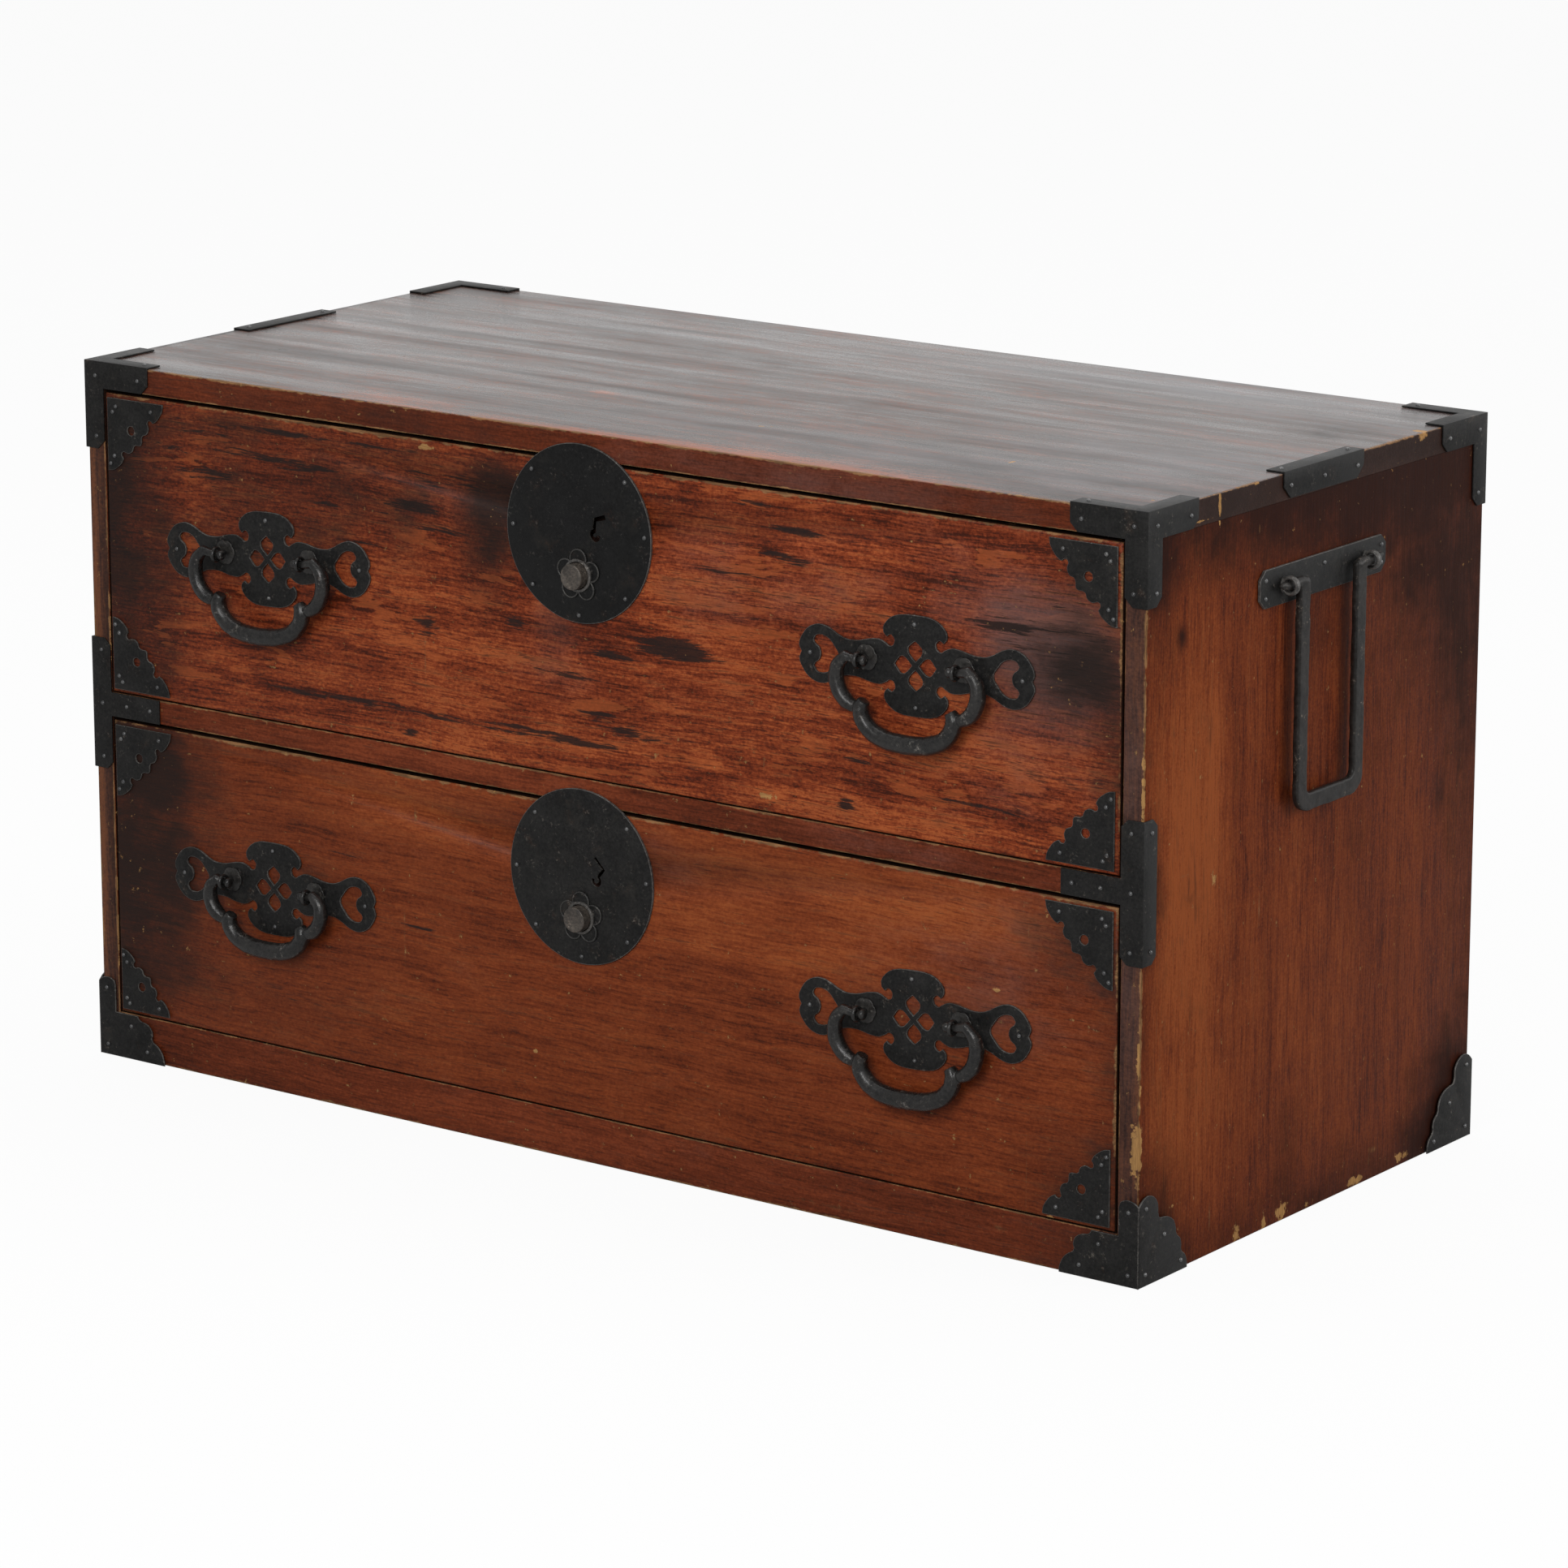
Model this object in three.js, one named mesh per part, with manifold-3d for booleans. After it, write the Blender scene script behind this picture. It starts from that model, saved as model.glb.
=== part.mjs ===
// A two-drawer clothes chest section with forged iron fittings, in millimetres.
// X runs to the right, Y to the back and Z up, from the middle of the underside.
import * as THREE from 'three';
import { mergeVertices } from 'three/addons/utils/BufferGeometryUtils.js';
import Module from 'manifold-3d';

const wasm = await Module();
wasm.setup();

// Case boards
const caseWidth = 898;
const caseDepth = 415;
const openingHeight = 220.5;
const topThickness = 18;
const sideThickness = 16;
const backThickness = 9;
const bottomThickness = 14;
const baseRailHeight = 33.5;
const baseRailDepth = 22;
const middleRailHeight = 17.5;
const middleRailDepth = 30;
const dustBoardThickness = 10;
const runnerWidth = 24;

// The line left at each wood joint, and under each sheet of iron
const seam = 0.2;
const seat = 0.2;

// Drawer boxes, and the room that they run in
const drawerTopGap = 2.5;
const drawerBottomGap = 0.5;
const drawerLeftGap = 0.7;
const drawerRightGap = 2.1;
const drawerBackGap = 6;
const drawerProud = 0.2;
const frontThickness = 20;
const drawerSideThickness = 12;
const drawerSideDrop = 4;
const drawerBackThickness = 10;
const drawerBottomThickness = 7;

// Iron sheet and its nails
const ironThickness = 1.2;
const nailRadius = 1.9;
const nailHeight = 1.1;
const nailSink = 0.4;
const nailTopShare = 0.6;

// Corner irons at the top of the case
const topIronArm = 58;
const topIronSideArm = 57;
const topIronLeg = 61.5;
const topIronLap = 13;
const topIronSideLeg = 15.5;
const armCut = 6;

// T-shaped irons at the middle rail
const middleIronHeight = 96;
const middleIronArm = 62;
const middleIronSide = 14.5;
const middleIronCut = 5;

// Straps on the top edges of the sides
const strapLength = 98;
const strapDrop = 17;
const strapCut = 8;

// Corner irons at the foot of the case
const footIronArm = 62;
const footIronLeg = 59;
const footIronSideArm = 58;
const footIronSideLeg = 61;

// Corner irons of the drawers
const cornerIronLeg = 52.5;
const smallCornerIronLeg = 45;
const cornerIronInset = 3;
const cornerIronHole = 3.3;

// Round lock plates, the plum blossom around the button, and the keyhole
const hardwareShift = -4.5;
const lockPlateRadius = 61.5;
const lockPlateThickness = 1.5;
const lockDrop = 48.5;
const lockNailInset = 5.5;
const buttonDrop = 28.5;
const blossomRadius = 16.5;
const blossomPetals = 5;
const blossomPetalRadius = 6.8;
const blossomThickness = 1.3;
const blossomCollarRadius = 11.4;
const blossomCollarHeight = 1.2;
const keyholeShift = 13;
const keyholeRadius = 3.1;
const keyholeSlot = 2.2;
const keyholeStem = 10.5;
const keyholeBendShare = 0.8;
const keyholeLeanShare = 0.2;
const keyholeHookShare = 0.6;
const keyBoreRadius = 4;

// Lock works in the drawer front
const buttonRadius = 8.9;
const buttonReach = 10.5;
const buttonBevel = 0.9;
const buttonFlangeRadius = 12.5;
const buttonFlangeThickness = 2.5;
const buttonClearance = 0.5;
const boltWidth = 24;
const boltThickness = 5;
const boltLength = 54;
const boltTravel = 7.5;
const boltSink = 0.5;
const boltClearance = 0.5;
const boltInset = 9.5;
const pocketSkin = 8;
const pocketWidth = 44;
const pocketHeight = 82;
const pocketTopWall = 12;
const coverMargin = 9;
const coverThickness = 3;

// Drawer handles: pierced plate, eyes and forged bail
const handleInset = 172;
const handleDrop = 101.5;
const handlePlateHalfLength = 93.5;
const handlePlateHalfHeight = 33.7;
const handlePlateThickness = 1.6;
const eyeSpacing = 77;
const eyeRise = 1.8;
const eyeReach = 11.5;
const eyeRadius = 6;
const eyeThickness = 3.6;
const eyeClearance = 0.5;
const eyePostWidth = 5;
const washerRadius = 8;
const washerThickness = 1.2;
const bailNeckRadius = 2.8;
const bailBallRadius = 3.7;
const bailBallReach = 4.6;
const bailBallTipShare = 0.5;
const bailBallStartShare = 0.3;
const bailBallEndShare = 0.75;
const bailArmRadius = 4.3;
const bailBowRadius = 5.9;
const bailShoulderRadius = 5.4;

// Half width and depth of each forged bail, to the middle of its bar
const upperLeftBail = [58.5, 56];
const upperRightBail = [56, 53];
const lowerLeftBail = [51.5, 45];
const lowerRightBail = [57, 55];

// How far each handle is turned off level, in degrees, with its right end up
const upperLeftTilt = 2;
const upperRightTilt = 1.3;
const lowerLeftTilt = 0.7;
const lowerRightTilt = 2.7;

// Carrying handles on the sides
const carryDrop = 72.5;
const carryPlateLength = 155;
const carryPlateHeight = 25.5;
const carryPlateThickness = 2.4;
const carryPlateCut = 6;
const carryReach = 8.5;
const carryEyeSpacing = 101;
const carryEyeRadius = 7.6;
const carryEyeThickness = 7;
const carryEyeClearance = 0.6;
const carryPinRadius = 3.6;
const carryPinHeadRadius = 5;
const carryPinHeadThickness = 3;
const carryBarWidth = 12;
const carryBarThickness = 5;
const carryBailWidth = 82;
const carryBailDrop = 155;
const carryBailRise = 4.4;
const carryCornerRadius = 14;
const carryInnerRadius = 5;

// How far a cut runs past the surface that it opens
const overrun = 1;

// Facets of the round pieces, and steps of their curves
const nailSides = 6;
const bailSides = 8;
const cornerHoleSides = 10;
const smallSides = 12;
const eyeSides = 16;
const buttonSides = 20;
const lockPlateSides = 40;
const keyholeSteps = 6;
const cornerSteps = 5;

// Finishes
const lacquer = new THREE.MeshStandardMaterial({ color: 0x6e2a16, roughness: 0.5, metalness: 0 });
const drawerLacquer = new THREE.MeshStandardMaterial({ color: 0x8a3216, roughness: 0.45, metalness: 0 });
const bareWood = new THREE.MeshStandardMaterial({ color: 0xb98f62, roughness: 0.8, metalness: 0 });
const blackIron = new THREE.MeshStandardMaterial({ color: 0x24282a, roughness: 0.6, metalness: 0.8 });
const wornIron = new THREE.MeshStandardMaterial({ color: 0x3a3e40, roughness: 0.5, metalness: 0.9 });

// Places worked out from the sizes above
const halfWidth = caseWidth / 2;
const innerHalf = halfWidth - sideThickness;
const frontY = -caseDepth / 2;
const backY = caseDepth / 2;
const panelY = backY - backThickness;
const caseHeight = baseRailHeight + 2 * openingHeight + middleRailHeight + topThickness;
const wallTop = caseHeight - topThickness;
const carryHeight = caseHeight - carryDrop;
const middleRailZ = baseRailHeight + openingHeight;
const upperOpeningZ = middleRailZ + middleRailHeight;
const drawerHeight = openingHeight - drawerTopGap - drawerBottomGap;
const drawerTop = drawerBottomGap + drawerHeight;
const drawerLeft = drawerLeftGap - innerHalf;
const drawerRight = innerHalf - drawerRightGap;
const boltDepth = boltTravel - boltSink - drawerTopGap + boltClearance;
const lockZ = drawerTop - lockDrop;
const buttonZ = lockZ - buttonDrop;
const eyeHole = bailNeckRadius + eyeClearance;
const wrap = ironThickness + seat;
const plateY = -drawerProud - seat;

const vector = (x, y, z) => new THREE.Vector3(x, y, z);
const point = (x, y) => new THREE.Vector2(x, y);

// A frame for a flat piece: its first direction, its second and the way it faces.
function frame(origin, across, up, out) {
  return new THREE.Matrix4().makeBasis(across, up, out).setPosition(origin);
}

// A closed geometry, set in a frame, as a solid that can be joined and cut.
function solid(geometry, place = new THREE.Matrix4()) {
  const bare = geometry.clone();
  bare.deleteAttribute('normal');
  bare.deleteAttribute('uv');
  const merged = mergeVertices(bare);
  merged.applyMatrix4(place);
  const mirrored = place.determinant() < 0;
  const corners = merged.index.array;
  const triangles = [];
  for (let i = 0; i < corners.length; i += 3) {
    const [a, b, c] = corners.slice(i, i + 3);
    if (a !== b && b !== c && c !== a) triangles.push(...(mirrored ? [a, c, b] : [a, b, c]));
  }
  const vertProperties = merged.attributes.position.array;
  const triVerts = Uint32Array.from(triangles);
  return new wasm.Manifold(new wasm.Mesh({ numProp: 3, vertProperties, triVerts }));
}

// A finished solid as a named mesh.
function piece(name, body, material) {
  const { vertProperties, triVerts } = body.getMesh();
  const geometry = new THREE.BufferGeometry();
  geometry.setAttribute('position', new THREE.BufferAttribute(vertProperties, 3));
  geometry.setIndex(new THREE.BufferAttribute(triVerts, 1));
  geometry.computeVertexNormals();
  const mesh = new THREE.Mesh(geometry, material);
  mesh.name = name;
  return mesh;
}

// A box between two places on each axis.
function block([x0, x1], [y0, y1], [z0, z1]) {
  const box = new THREE.BoxGeometry(x1 - x0, y1 - y0, z1 - z0);
  return box.translate((x0 + x1) / 2, (y0 + y1) / 2, (z0 + z1) / 2);
}

function board(name, xs, ys, zs, material = lacquer) {
  return piece(name, solid(block(xs, ys, zs)), material);
}

// A turned piece whose axis is the Z axis, from [radius, height] pairs listed upwards.
function turned(profile, sides) {
  const points = profile.map(([radius, height]) => point(radius, height));
  return new THREE.LatheGeometry(points, sides).rotateX(Math.PI / 2);
}

function disc(radius, z0, z1, sides) {
  return turned([[0, z0], [radius, z0], [radius, z1], [0, z1]], sides);
}

function nailHead(x, y, z) {
  const top = z + nailHeight;
  const foot = z - nailSink;
  const profile = [[0, foot], [nailRadius, foot], [nailRadius * nailTopShare, top], [0, top]];
  return turned(profile, nailSides).translate(x, y, 0);
}

// A smooth run of points through a few chosen ones.
function smooth(points, steps = 2) {
  const curve = new THREE.SplineCurve(points.map(([x, y]) => point(x, y)));
  return curve.getPoints(steps * (points.length - 1));
}

function scaled(shares, width, height) {
  return shares.map(([x, y]) => [x * width, y * height]);
}

// A sheet of iron cut to an outline, with its holes and nail heads.
function ironSheet(outline, nails, thickness, place, holes = []) {
  const points = outline.map(([x, y]) => point(x, y));
  if (THREE.ShapeUtils.isClockWise(points)) points.reverse();
  const shape = new THREE.Shape(points);
  for (const hole of holes) shape.holes.push(new THREE.Path(hole));
  const sheet = new THREE.ExtrudeGeometry(shape, { depth: thickness, bevelEnabled: false });
  let body = solid(sheet, place);
  for (const [x, y] of nails) body = body.add(solid(nailHead(x, y, thickness), place));
  return body;
}

function circle(x, y, radius, sides) {
  return new THREE.EllipseCurve(x, y, radius, radius).getPoints(sides).slice(0, sides);
}

// Mortise for a lock bolt, cut up into the rail or board above a drawer.
function boltMortise(underside) {
  const half = boltWidth / 2 + boltClearance;
  const y0 = frontY + boltInset - boltClearance;
  const y1 = frontY + boltInset + boltThickness + boltClearance;
  const xs = [hardwareShift - half, hardwareShift + half];
  return solid(block(xs, [y0, y1], [underside - overrun, underside + boltDepth]));
}

function caseBoards() {
  const inside = [seam - innerHalf, innerHalf - seam];
  const topBoard = block([-halfWidth, halfWidth], [frontY, backY], [wallTop, caseHeight]);
  const railBar = block(inside, [frontY, frontY + middleRailDepth], [middleRailZ, upperOpeningZ]);
  const dustZ = upperOpeningZ - dustBoardThickness;
  const dustYs = [frontY + middleRailDepth + seam, panelY - seam];
  const floorYs = [frontY + baseRailDepth + seam, panelY - seam];
  const runnerZs = [bottomThickness + seam, baseRailHeight];
  return [
    piece('top_board', solid(topBoard).subtract(boltMortise(wallTop)), lacquer),
    board('left_side', [-halfWidth, -innerHalf], [frontY, backY], [0, wallTop - seam]),
    board('right_side', [innerHalf, halfWidth], [frontY, backY], [0, wallTop - seam]),
    board('back_panel', inside, [panelY, backY], [0, wallTop - seam], bareWood),
    board('bottom_board', inside, floorYs, [0, bottomThickness], bareWood),
    board('base_rail', inside, [frontY, frontY + baseRailDepth], [0, baseRailHeight]),
    piece('middle_rail', solid(railBar).subtract(boltMortise(middleRailZ)), lacquer),
    board('dust_board', inside, dustYs, [dustZ, upperOpeningZ], bareWood),
    board('left_runner', [seam - innerHalf, runnerWidth - innerHalf], floorYs, runnerZs, bareWood),
    board('right_runner', [innerHalf - runnerWidth, innerHalf - seam], floorYs, runnerZs, bareWood),
  ];
}

// Frames on the faces at one corner of the case. The first direction runs in along the
// face from its outer edge, the second runs up or down from the top or the underside.
function faceFrame(side, end, z, up) {
  const origin = vector(side * halfWidth, end * (backY + seat), z);
  return frame(origin, vector(-side, 0, 0), vector(0, 0, up), vector(0, end, 0));
}

function flankFrame(side, end, z, up) {
  const origin = vector(side * (halfWidth + seat), end * backY, z);
  return frame(origin, vector(0, -end, 0), vector(0, 0, up), vector(side, 0, 0));
}

function topFrame(side, end) {
  const origin = vector(side * halfWidth, end * backY, caseHeight + seat);
  return frame(origin, vector(-side, 0, 0), vector(0, -end, 0), vector(0, 0, 1));
}

// An L-shaped sheet that wraps the corner: an arm along the edge and a leg down it.
function ell(arm, band, leg, reach, cut) {
  return [
    [-wrap, -wrap],
    [arm, -wrap],
    [arm, band - cut],
    [arm - cut, band],
    [leg, band],
    [leg, reach - cut],
    [leg - cut, reach],
    [-wrap, reach],
  ];
}

function topCornerIron(name, side, end) {
  const band = topThickness;
  const cut = armCut;
  const mid = band / 2;
  const front = ell(topIronArm, band, sideThickness, topIronLeg, cut);
  const flank = ell(topIronSideArm, band, topIronSideLeg, topIronLeg, cut);
  const lap = [
    [-wrap, -wrap],
    [topIronArm, -wrap],
    [topIronArm, topIronLap],
    [topIronLap, topIronLap],
    [topIronLap, topIronSideArm],
    [-wrap, topIronSideArm],
  ];
  const nails = [[mid, mid], [topIronArm - mid, mid], [mid, topIronLeg - mid]];
  const flankNails = [[mid, mid], [topIronSideArm - mid, mid], [mid, topIronLeg - mid]];
  const faces = ironSheet(front, nails, ironThickness, faceFrame(side, end, caseHeight, -1));
  const flanks = ironSheet(flank, flankNails, ironThickness, flankFrame(side, end, caseHeight, -1));
  const lapNails = [[topIronArm - mid, topIronLap / 2]];
  const laps = ironSheet(lap, lapNails, ironThickness, topFrame(side, end));
  return piece(name, faces.add(flanks).add(laps), blackIron);
}

function middleIron(name, side) {
  const half = middleIronHeight / 2;
  const rail = middleRailHeight / 2;
  const cut = middleIronCut;
  const z = middleRailZ + rail;
  const front = [
    [-wrap, -half],
    [sideThickness - cut, -half],
    [sideThickness, cut - half],
    [sideThickness, -rail],
    [middleIronArm, -rail],
    [middleIronArm, rail],
    [sideThickness, rail],
    [sideThickness, half - cut],
    [sideThickness - cut, half],
    [-wrap, half],
  ];
  const flank = [
    [-wrap, -half],
    [middleIronSide - cut, -half],
    [middleIronSide, cut - half],
    [middleIronSide, half - cut],
    [middleIronSide - cut, half],
    [-wrap, half],
  ];
  const x = sideThickness / 2;
  const high = half - rail;
  const nails = [[x, high], [x, 0], [x, -high], [middleIronArm - rail, 0], [middleIronArm / 2, 0]];
  const flankNails = [[x, high], [x, -high]];
  const faces = ironSheet(front, nails, ironThickness, faceFrame(side, -1, z, 1));
  const flanks = ironSheet(flank, flankNails, ironThickness, flankFrame(side, -1, z, 1));
  return piece(name, faces.add(flanks), blackIron);
}

function topStrap(name, side) {
  const start = (caseDepth - strapLength) / 2;
  const stop = start + strapLength;
  const mid = strapDrop / 2;
  const flank = [
    [start, -wrap],
    [stop, -wrap],
    [stop, strapDrop - strapCut],
    [stop - strapCut, strapDrop],
    [start + strapCut, strapDrop],
    [start, strapDrop - strapCut],
  ];
  const lap = [
    [-wrap, start],
    [topIronLap, start],
    [topIronLap, stop],
    [-wrap, stop],
  ];
  const nails = [[start + strapCut, mid], [(start + stop) / 2, mid], [stop - strapCut, mid]];
  const flanks = ironSheet(flank, nails, ironThickness, flankFrame(side, -1, caseHeight, -1));
  const lapNails = [[topIronLap / 2, start + strapCut], [topIronLap / 2, stop - strapCut]];
  const laps = ironSheet(lap, lapNails, ironThickness, topFrame(side, -1));
  return piece(name, flanks.add(laps), blackIron);
}

// Foot irons: a cut corner on the front and back, a scalloped one on the sides.
const footFaceShares = [[0.6, 1], [0.95, 0.14], [1, 0]];
const footFlankLobeShares = [[0.15, 1], [0.32, 0.92], [0.4, 0.75]];
const footFlankRunShares = [[0.4, 0.75], [0.53, 0.71], [0.66, 0.56]];
const footFlankTipShares = [[0.96, 0.14], [1, 0]];

function footIron(name, side, end) {
  const arm = footIronArm;
  const leg = footIronLeg;
  const flankArm = footIronSideArm;
  const flankLeg = footIronSideLeg;
  const slope = scaled(footFaceShares, arm, baseRailHeight).reverse();
  const front = [
    [-wrap, 0],
    ...slope,
    [sideThickness, baseRailHeight],
    [sideThickness, leg],
    [-wrap, leg],
  ];
  const lobe = smooth(scaled(footFlankLobeShares, flankArm, flankLeg));
  const run = smooth(scaled(footFlankRunShares, flankArm, flankLeg));
  const flank = [
    [-wrap, 0],
    [-wrap, flankLeg],
    ...lobe.map(({ x, y }) => [x, y]),
    ...run.slice(1).map(({ x, y }) => [x, y]),
    ...scaled(footFlankTipShares, flankArm, flankLeg),
  ];
  const x = sideThickness / 2;
  const nails = [[x, leg - x], [x, x], [arm / 2, baseRailHeight - x], [arm - x * 2, x]];
  const flankNails = [[x, flankLeg - x], [flankArm / 2, flankLeg / 2], [x, x], [flankArm - x, x]];
  const faces = ironSheet(front, nails, ironThickness, faceFrame(side, end, 0, 1));
  const flanks = ironSheet(flank, flankNails, ironThickness, flankFrame(side, end, 0, 1));
  return piece(name, faces.add(flanks), blackIron);
}

// Carrying handle: plate with two eyes on a side, and the flat bar that hangs in them.
const neckShare = 0.8;

function carryPlate(name, side) {
  const x = carryPlateLength / 2;
  const z = carryPlateHeight / 2;
  const cut = carryPlateCut;
  const outline = [
    [cut - x, -z], [x - cut, -z], [x, cut - z], [x, z - cut],
    [x - cut, z], [cut - x, z], [-x, z - cut], [-x, cut - z],
  ];
  const nails = [[0, cut], [x - cut, cut], [x - cut, -cut], [cut - x, cut], [cut - x, -cut]];
  const origin = vector(side * (halfWidth + seat), 0, carryHeight);
  const place = frame(origin, vector(0, 1, 0), vector(0, 0, 1), vector(side, 0, 0));
  let body = ironSheet(outline, nails, carryPlateThickness, place);
  for (const end of [-1, 1]) {
    const y = end * carryEyeSpacing / 2 - carryEyeThickness / 2;
    const at = vector(side * (halfWidth + carryReach), y, carryHeight);
    const ring = frame(at, vector(0, 0, 1), vector(1, 0, 0), vector(0, 1, 0));
    const rim = solid(disc(carryEyeRadius, 0, carryEyeThickness, eyeSides), ring);
    const foot = side * (halfWidth + seat + carryPlateThickness / 2);
    const post = block(
      [foot, at.x].sort((a, b) => a - b),
      [y, y + carryEyeThickness],
      [carryHeight - carryEyeRadius * neckShare, carryHeight + carryEyeRadius * neckShare],
    );
    const hole = carryPinRadius + carryEyeClearance;
    const bore = solid(disc(hole, -overrun, carryEyeThickness + overrun, smallSides), ring);
    body = body.add(rim).add(solid(post)).subtract(bore);
  }
  return piece(name, body, blackIron);
}

function carryBail(name, side) {
  const out = carryBailWidth / 2;
  const inner = out - carryBarWidth;
  const foot = -carryBailDrop;
  const sill = foot + carryBarWidth;
  const bend = carryCornerRadius;
  const inside = carryInnerRadius;
  const shape = new THREE.Shape();
  shape.moveTo(-out, carryBailRise);
  shape.lineTo(-out, foot + bend);
  shape.absarc(bend - out, foot + bend, bend, Math.PI, 1.5 * Math.PI, false);
  shape.absarc(out - bend, foot + bend, bend, 1.5 * Math.PI, 2 * Math.PI, false);
  shape.lineTo(out, carryBailRise);
  shape.lineTo(inner + inside, carryBailRise);
  shape.lineTo(inner, carryBailRise - inside);
  shape.absarc(inner - inside, sill + inside, inside, 0, -0.5 * Math.PI, true);
  shape.absarc(inside - inner, sill + inside, inside, -0.5 * Math.PI, -Math.PI, true);
  shape.lineTo(-inner, carryBailRise - inside);
  shape.lineTo(-inner - inside, carryBailRise);
  const bar = new THREE.ExtrudeGeometry(shape, {
    depth: carryBarThickness, bevelEnabled: false, curveSegments: cornerSteps,
  });
  const origin = vector(side * (halfWidth + carryReach - carryBarThickness / 2), 0, carryHeight);
  let body = solid(bar, frame(origin, vector(0, 1, 0), vector(0, 0, 1), vector(side, 0, 0)));
  const tip = (carryEyeSpacing + carryEyeThickness) / 2 + carryEyeClearance;
  for (const end of [-1, 1]) {
    const at = vector(side * (halfWidth + carryReach), 0, carryHeight);
    const along = frame(at, vector(0, 0, end), vector(1, 0, 0), vector(0, end, 0));
    const head = tip + carryPinHeadThickness;
    const profile = [
      [0, out - overrun], [carryPinRadius, out - overrun], [carryPinRadius, tip],
      [carryPinHeadRadius, tip], [carryPinHeadRadius, head], [0, head],
    ];
    body = body.add(solid(turned(profile, smallSides), along));
  }
  return piece(name, body, wornIron);
}

// Drawer pieces stand in the drawer's own frame: chest middle, case front, opening floor.
function onFront(x, z) {
  return frame(vector(x, plateY, z), vector(1, 0, 0), vector(0, 0, 1), vector(0, -1, 0));
}

function drawerFront(name) {
  const face = -drawerProud;
  const rear = frontThickness - drawerProud;
  const panel = block([drawerLeft, drawerRight], [face, rear], [drawerBottomGap, drawerTop]);
  const pocketTop = drawerTop - pocketTopWall;
  const half = pocketWidth / 2;
  const pocket = block(
    [hardwareShift - half, hardwareShift + half],
    [pocketSkin, rear + overrun],
    [pocketTop - pocketHeight, pocketTop],
  );
  const slotHalf = boltWidth / 2 + boltClearance;
  const slot = block(
    [hardwareShift - slotHalf, hardwareShift + slotHalf],
    [boltInset - boltClearance, boltInset + boltThickness + boltClearance],
    [pocketTop - overrun, drawerTop + overrun],
  );
  const through = pocketSkin - plateY + overrun;
  const bore = disc(buttonRadius + buttonClearance, -through, overrun, buttonSides);
  const keyBore = disc(keyBoreRadius, -through, overrun, smallSides);
  let body = solid(panel).subtract(solid(pocket)).subtract(solid(slot));
  body = body.subtract(solid(bore, onFront(hardwareShift, buttonZ)));
  body = body.subtract(solid(keyBore, onFront(hardwareShift + keyholeShift, lockZ)));
  return piece(name, body, drawerLacquer);
}

function drawerBoards(name) {
  const rear = frontThickness - drawerProud;
  const end = caseDepth - backThickness - drawerBackGap;
  const floor = drawerBottomGap + drawerBottomThickness;
  const top = drawerTop - drawerSideDrop;
  const inLeft = drawerLeft + drawerSideThickness;
  const inRight = drawerRight - drawerSideThickness;
  const long = [rear + seam, end];
  const low = [drawerBottomGap, floor];
  const high = [floor + seam, top];
  const across = [inLeft + seam, inRight - seam];
  return [
    board(`${name}_left_side`, [drawerLeft, inLeft], long, high, bareWood),
    board(`${name}_right_side`, [inRight, drawerRight], long, high, bareWood),
    board(`${name}_back`, across, [end - drawerBackThickness, end], high, bareWood),
    board(`${name}_bottom`, [drawerLeft, drawerRight], long, low, bareWood),
  ];
}

// Drawer corner iron: a right angle whose long side is scalloped, with one round hole.
const cornerTipShares = [[1, 0], [0.85, 0.29]];
const cornerHollowShares = [[0.85, 0.29], [0.78, 0.255], [0.71, 0.26]];
const cornerLobeShares = [[0.71, 0.26], [0.57, 0.57], [0.26, 0.71]];
const cornerNailShares = [[0.79, 0.12], [0.16, 0.11], [0.1, 0.19], [0.12, 0.79], [0.05, 0.9]];
const cornerHoleShare = 0.42;

function cornerIron(name, leg, x, z, across, up) {
  const swap = (run) => run.map(([a, b]) => [b, a]).reverse();
  const half = [
    scaled(cornerTipShares, leg, leg).map(([a, b]) => point(a, b)),
    smooth(scaled(cornerHollowShares, leg, leg)).slice(1),
    smooth(scaled(cornerLobeShares, leg, leg)).slice(1),
    smooth(scaled(swap(cornerHollowShares), leg, leg)).slice(1),
  ].flat();
  const outline = [[0, 0], ...half.map((p) => [p.x, p.y]), [0, leg]];
  const hole = circle(leg * cornerHoleShare, leg * cornerHoleShare, cornerIronHole, cornerHoleSides);
  const origin = vector(x, plateY, z);
  const place = frame(origin, vector(across, 0, 0), vector(0, 0, up), vector(0, -1, 0));
  const nails = scaled(cornerNailShares, leg, leg);
  return piece(name, ironSheet(outline, nails, ironThickness, place, [hole]), blackIron);
}

function cornerIrons(name, lowerLeftLeg) {
  const left = drawerLeft + cornerIronInset;
  const right = drawerRight - cornerIronInset;
  const low = drawerBottomGap + cornerIronInset;
  const high = drawerTop - cornerIronInset;
  return [
    cornerIron(`${name}_iron_top_left`, cornerIronLeg, left, high, 1, -1),
    cornerIron(`${name}_iron_top_right`, cornerIronLeg, right, high, -1, -1),
    cornerIron(`${name}_iron_bottom_left`, lowerLeftLeg, left, low, 1, 1),
    cornerIron(`${name}_iron_bottom_right`, cornerIronLeg, right, low, -1, 1),
  ];
}

// The keyhole is a bent slot that ends in an open ring around the key's guide pin. The
// ring runs between two shares of a half turn.
const keyholeRingShares = [-0.25, -1.4];

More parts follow.
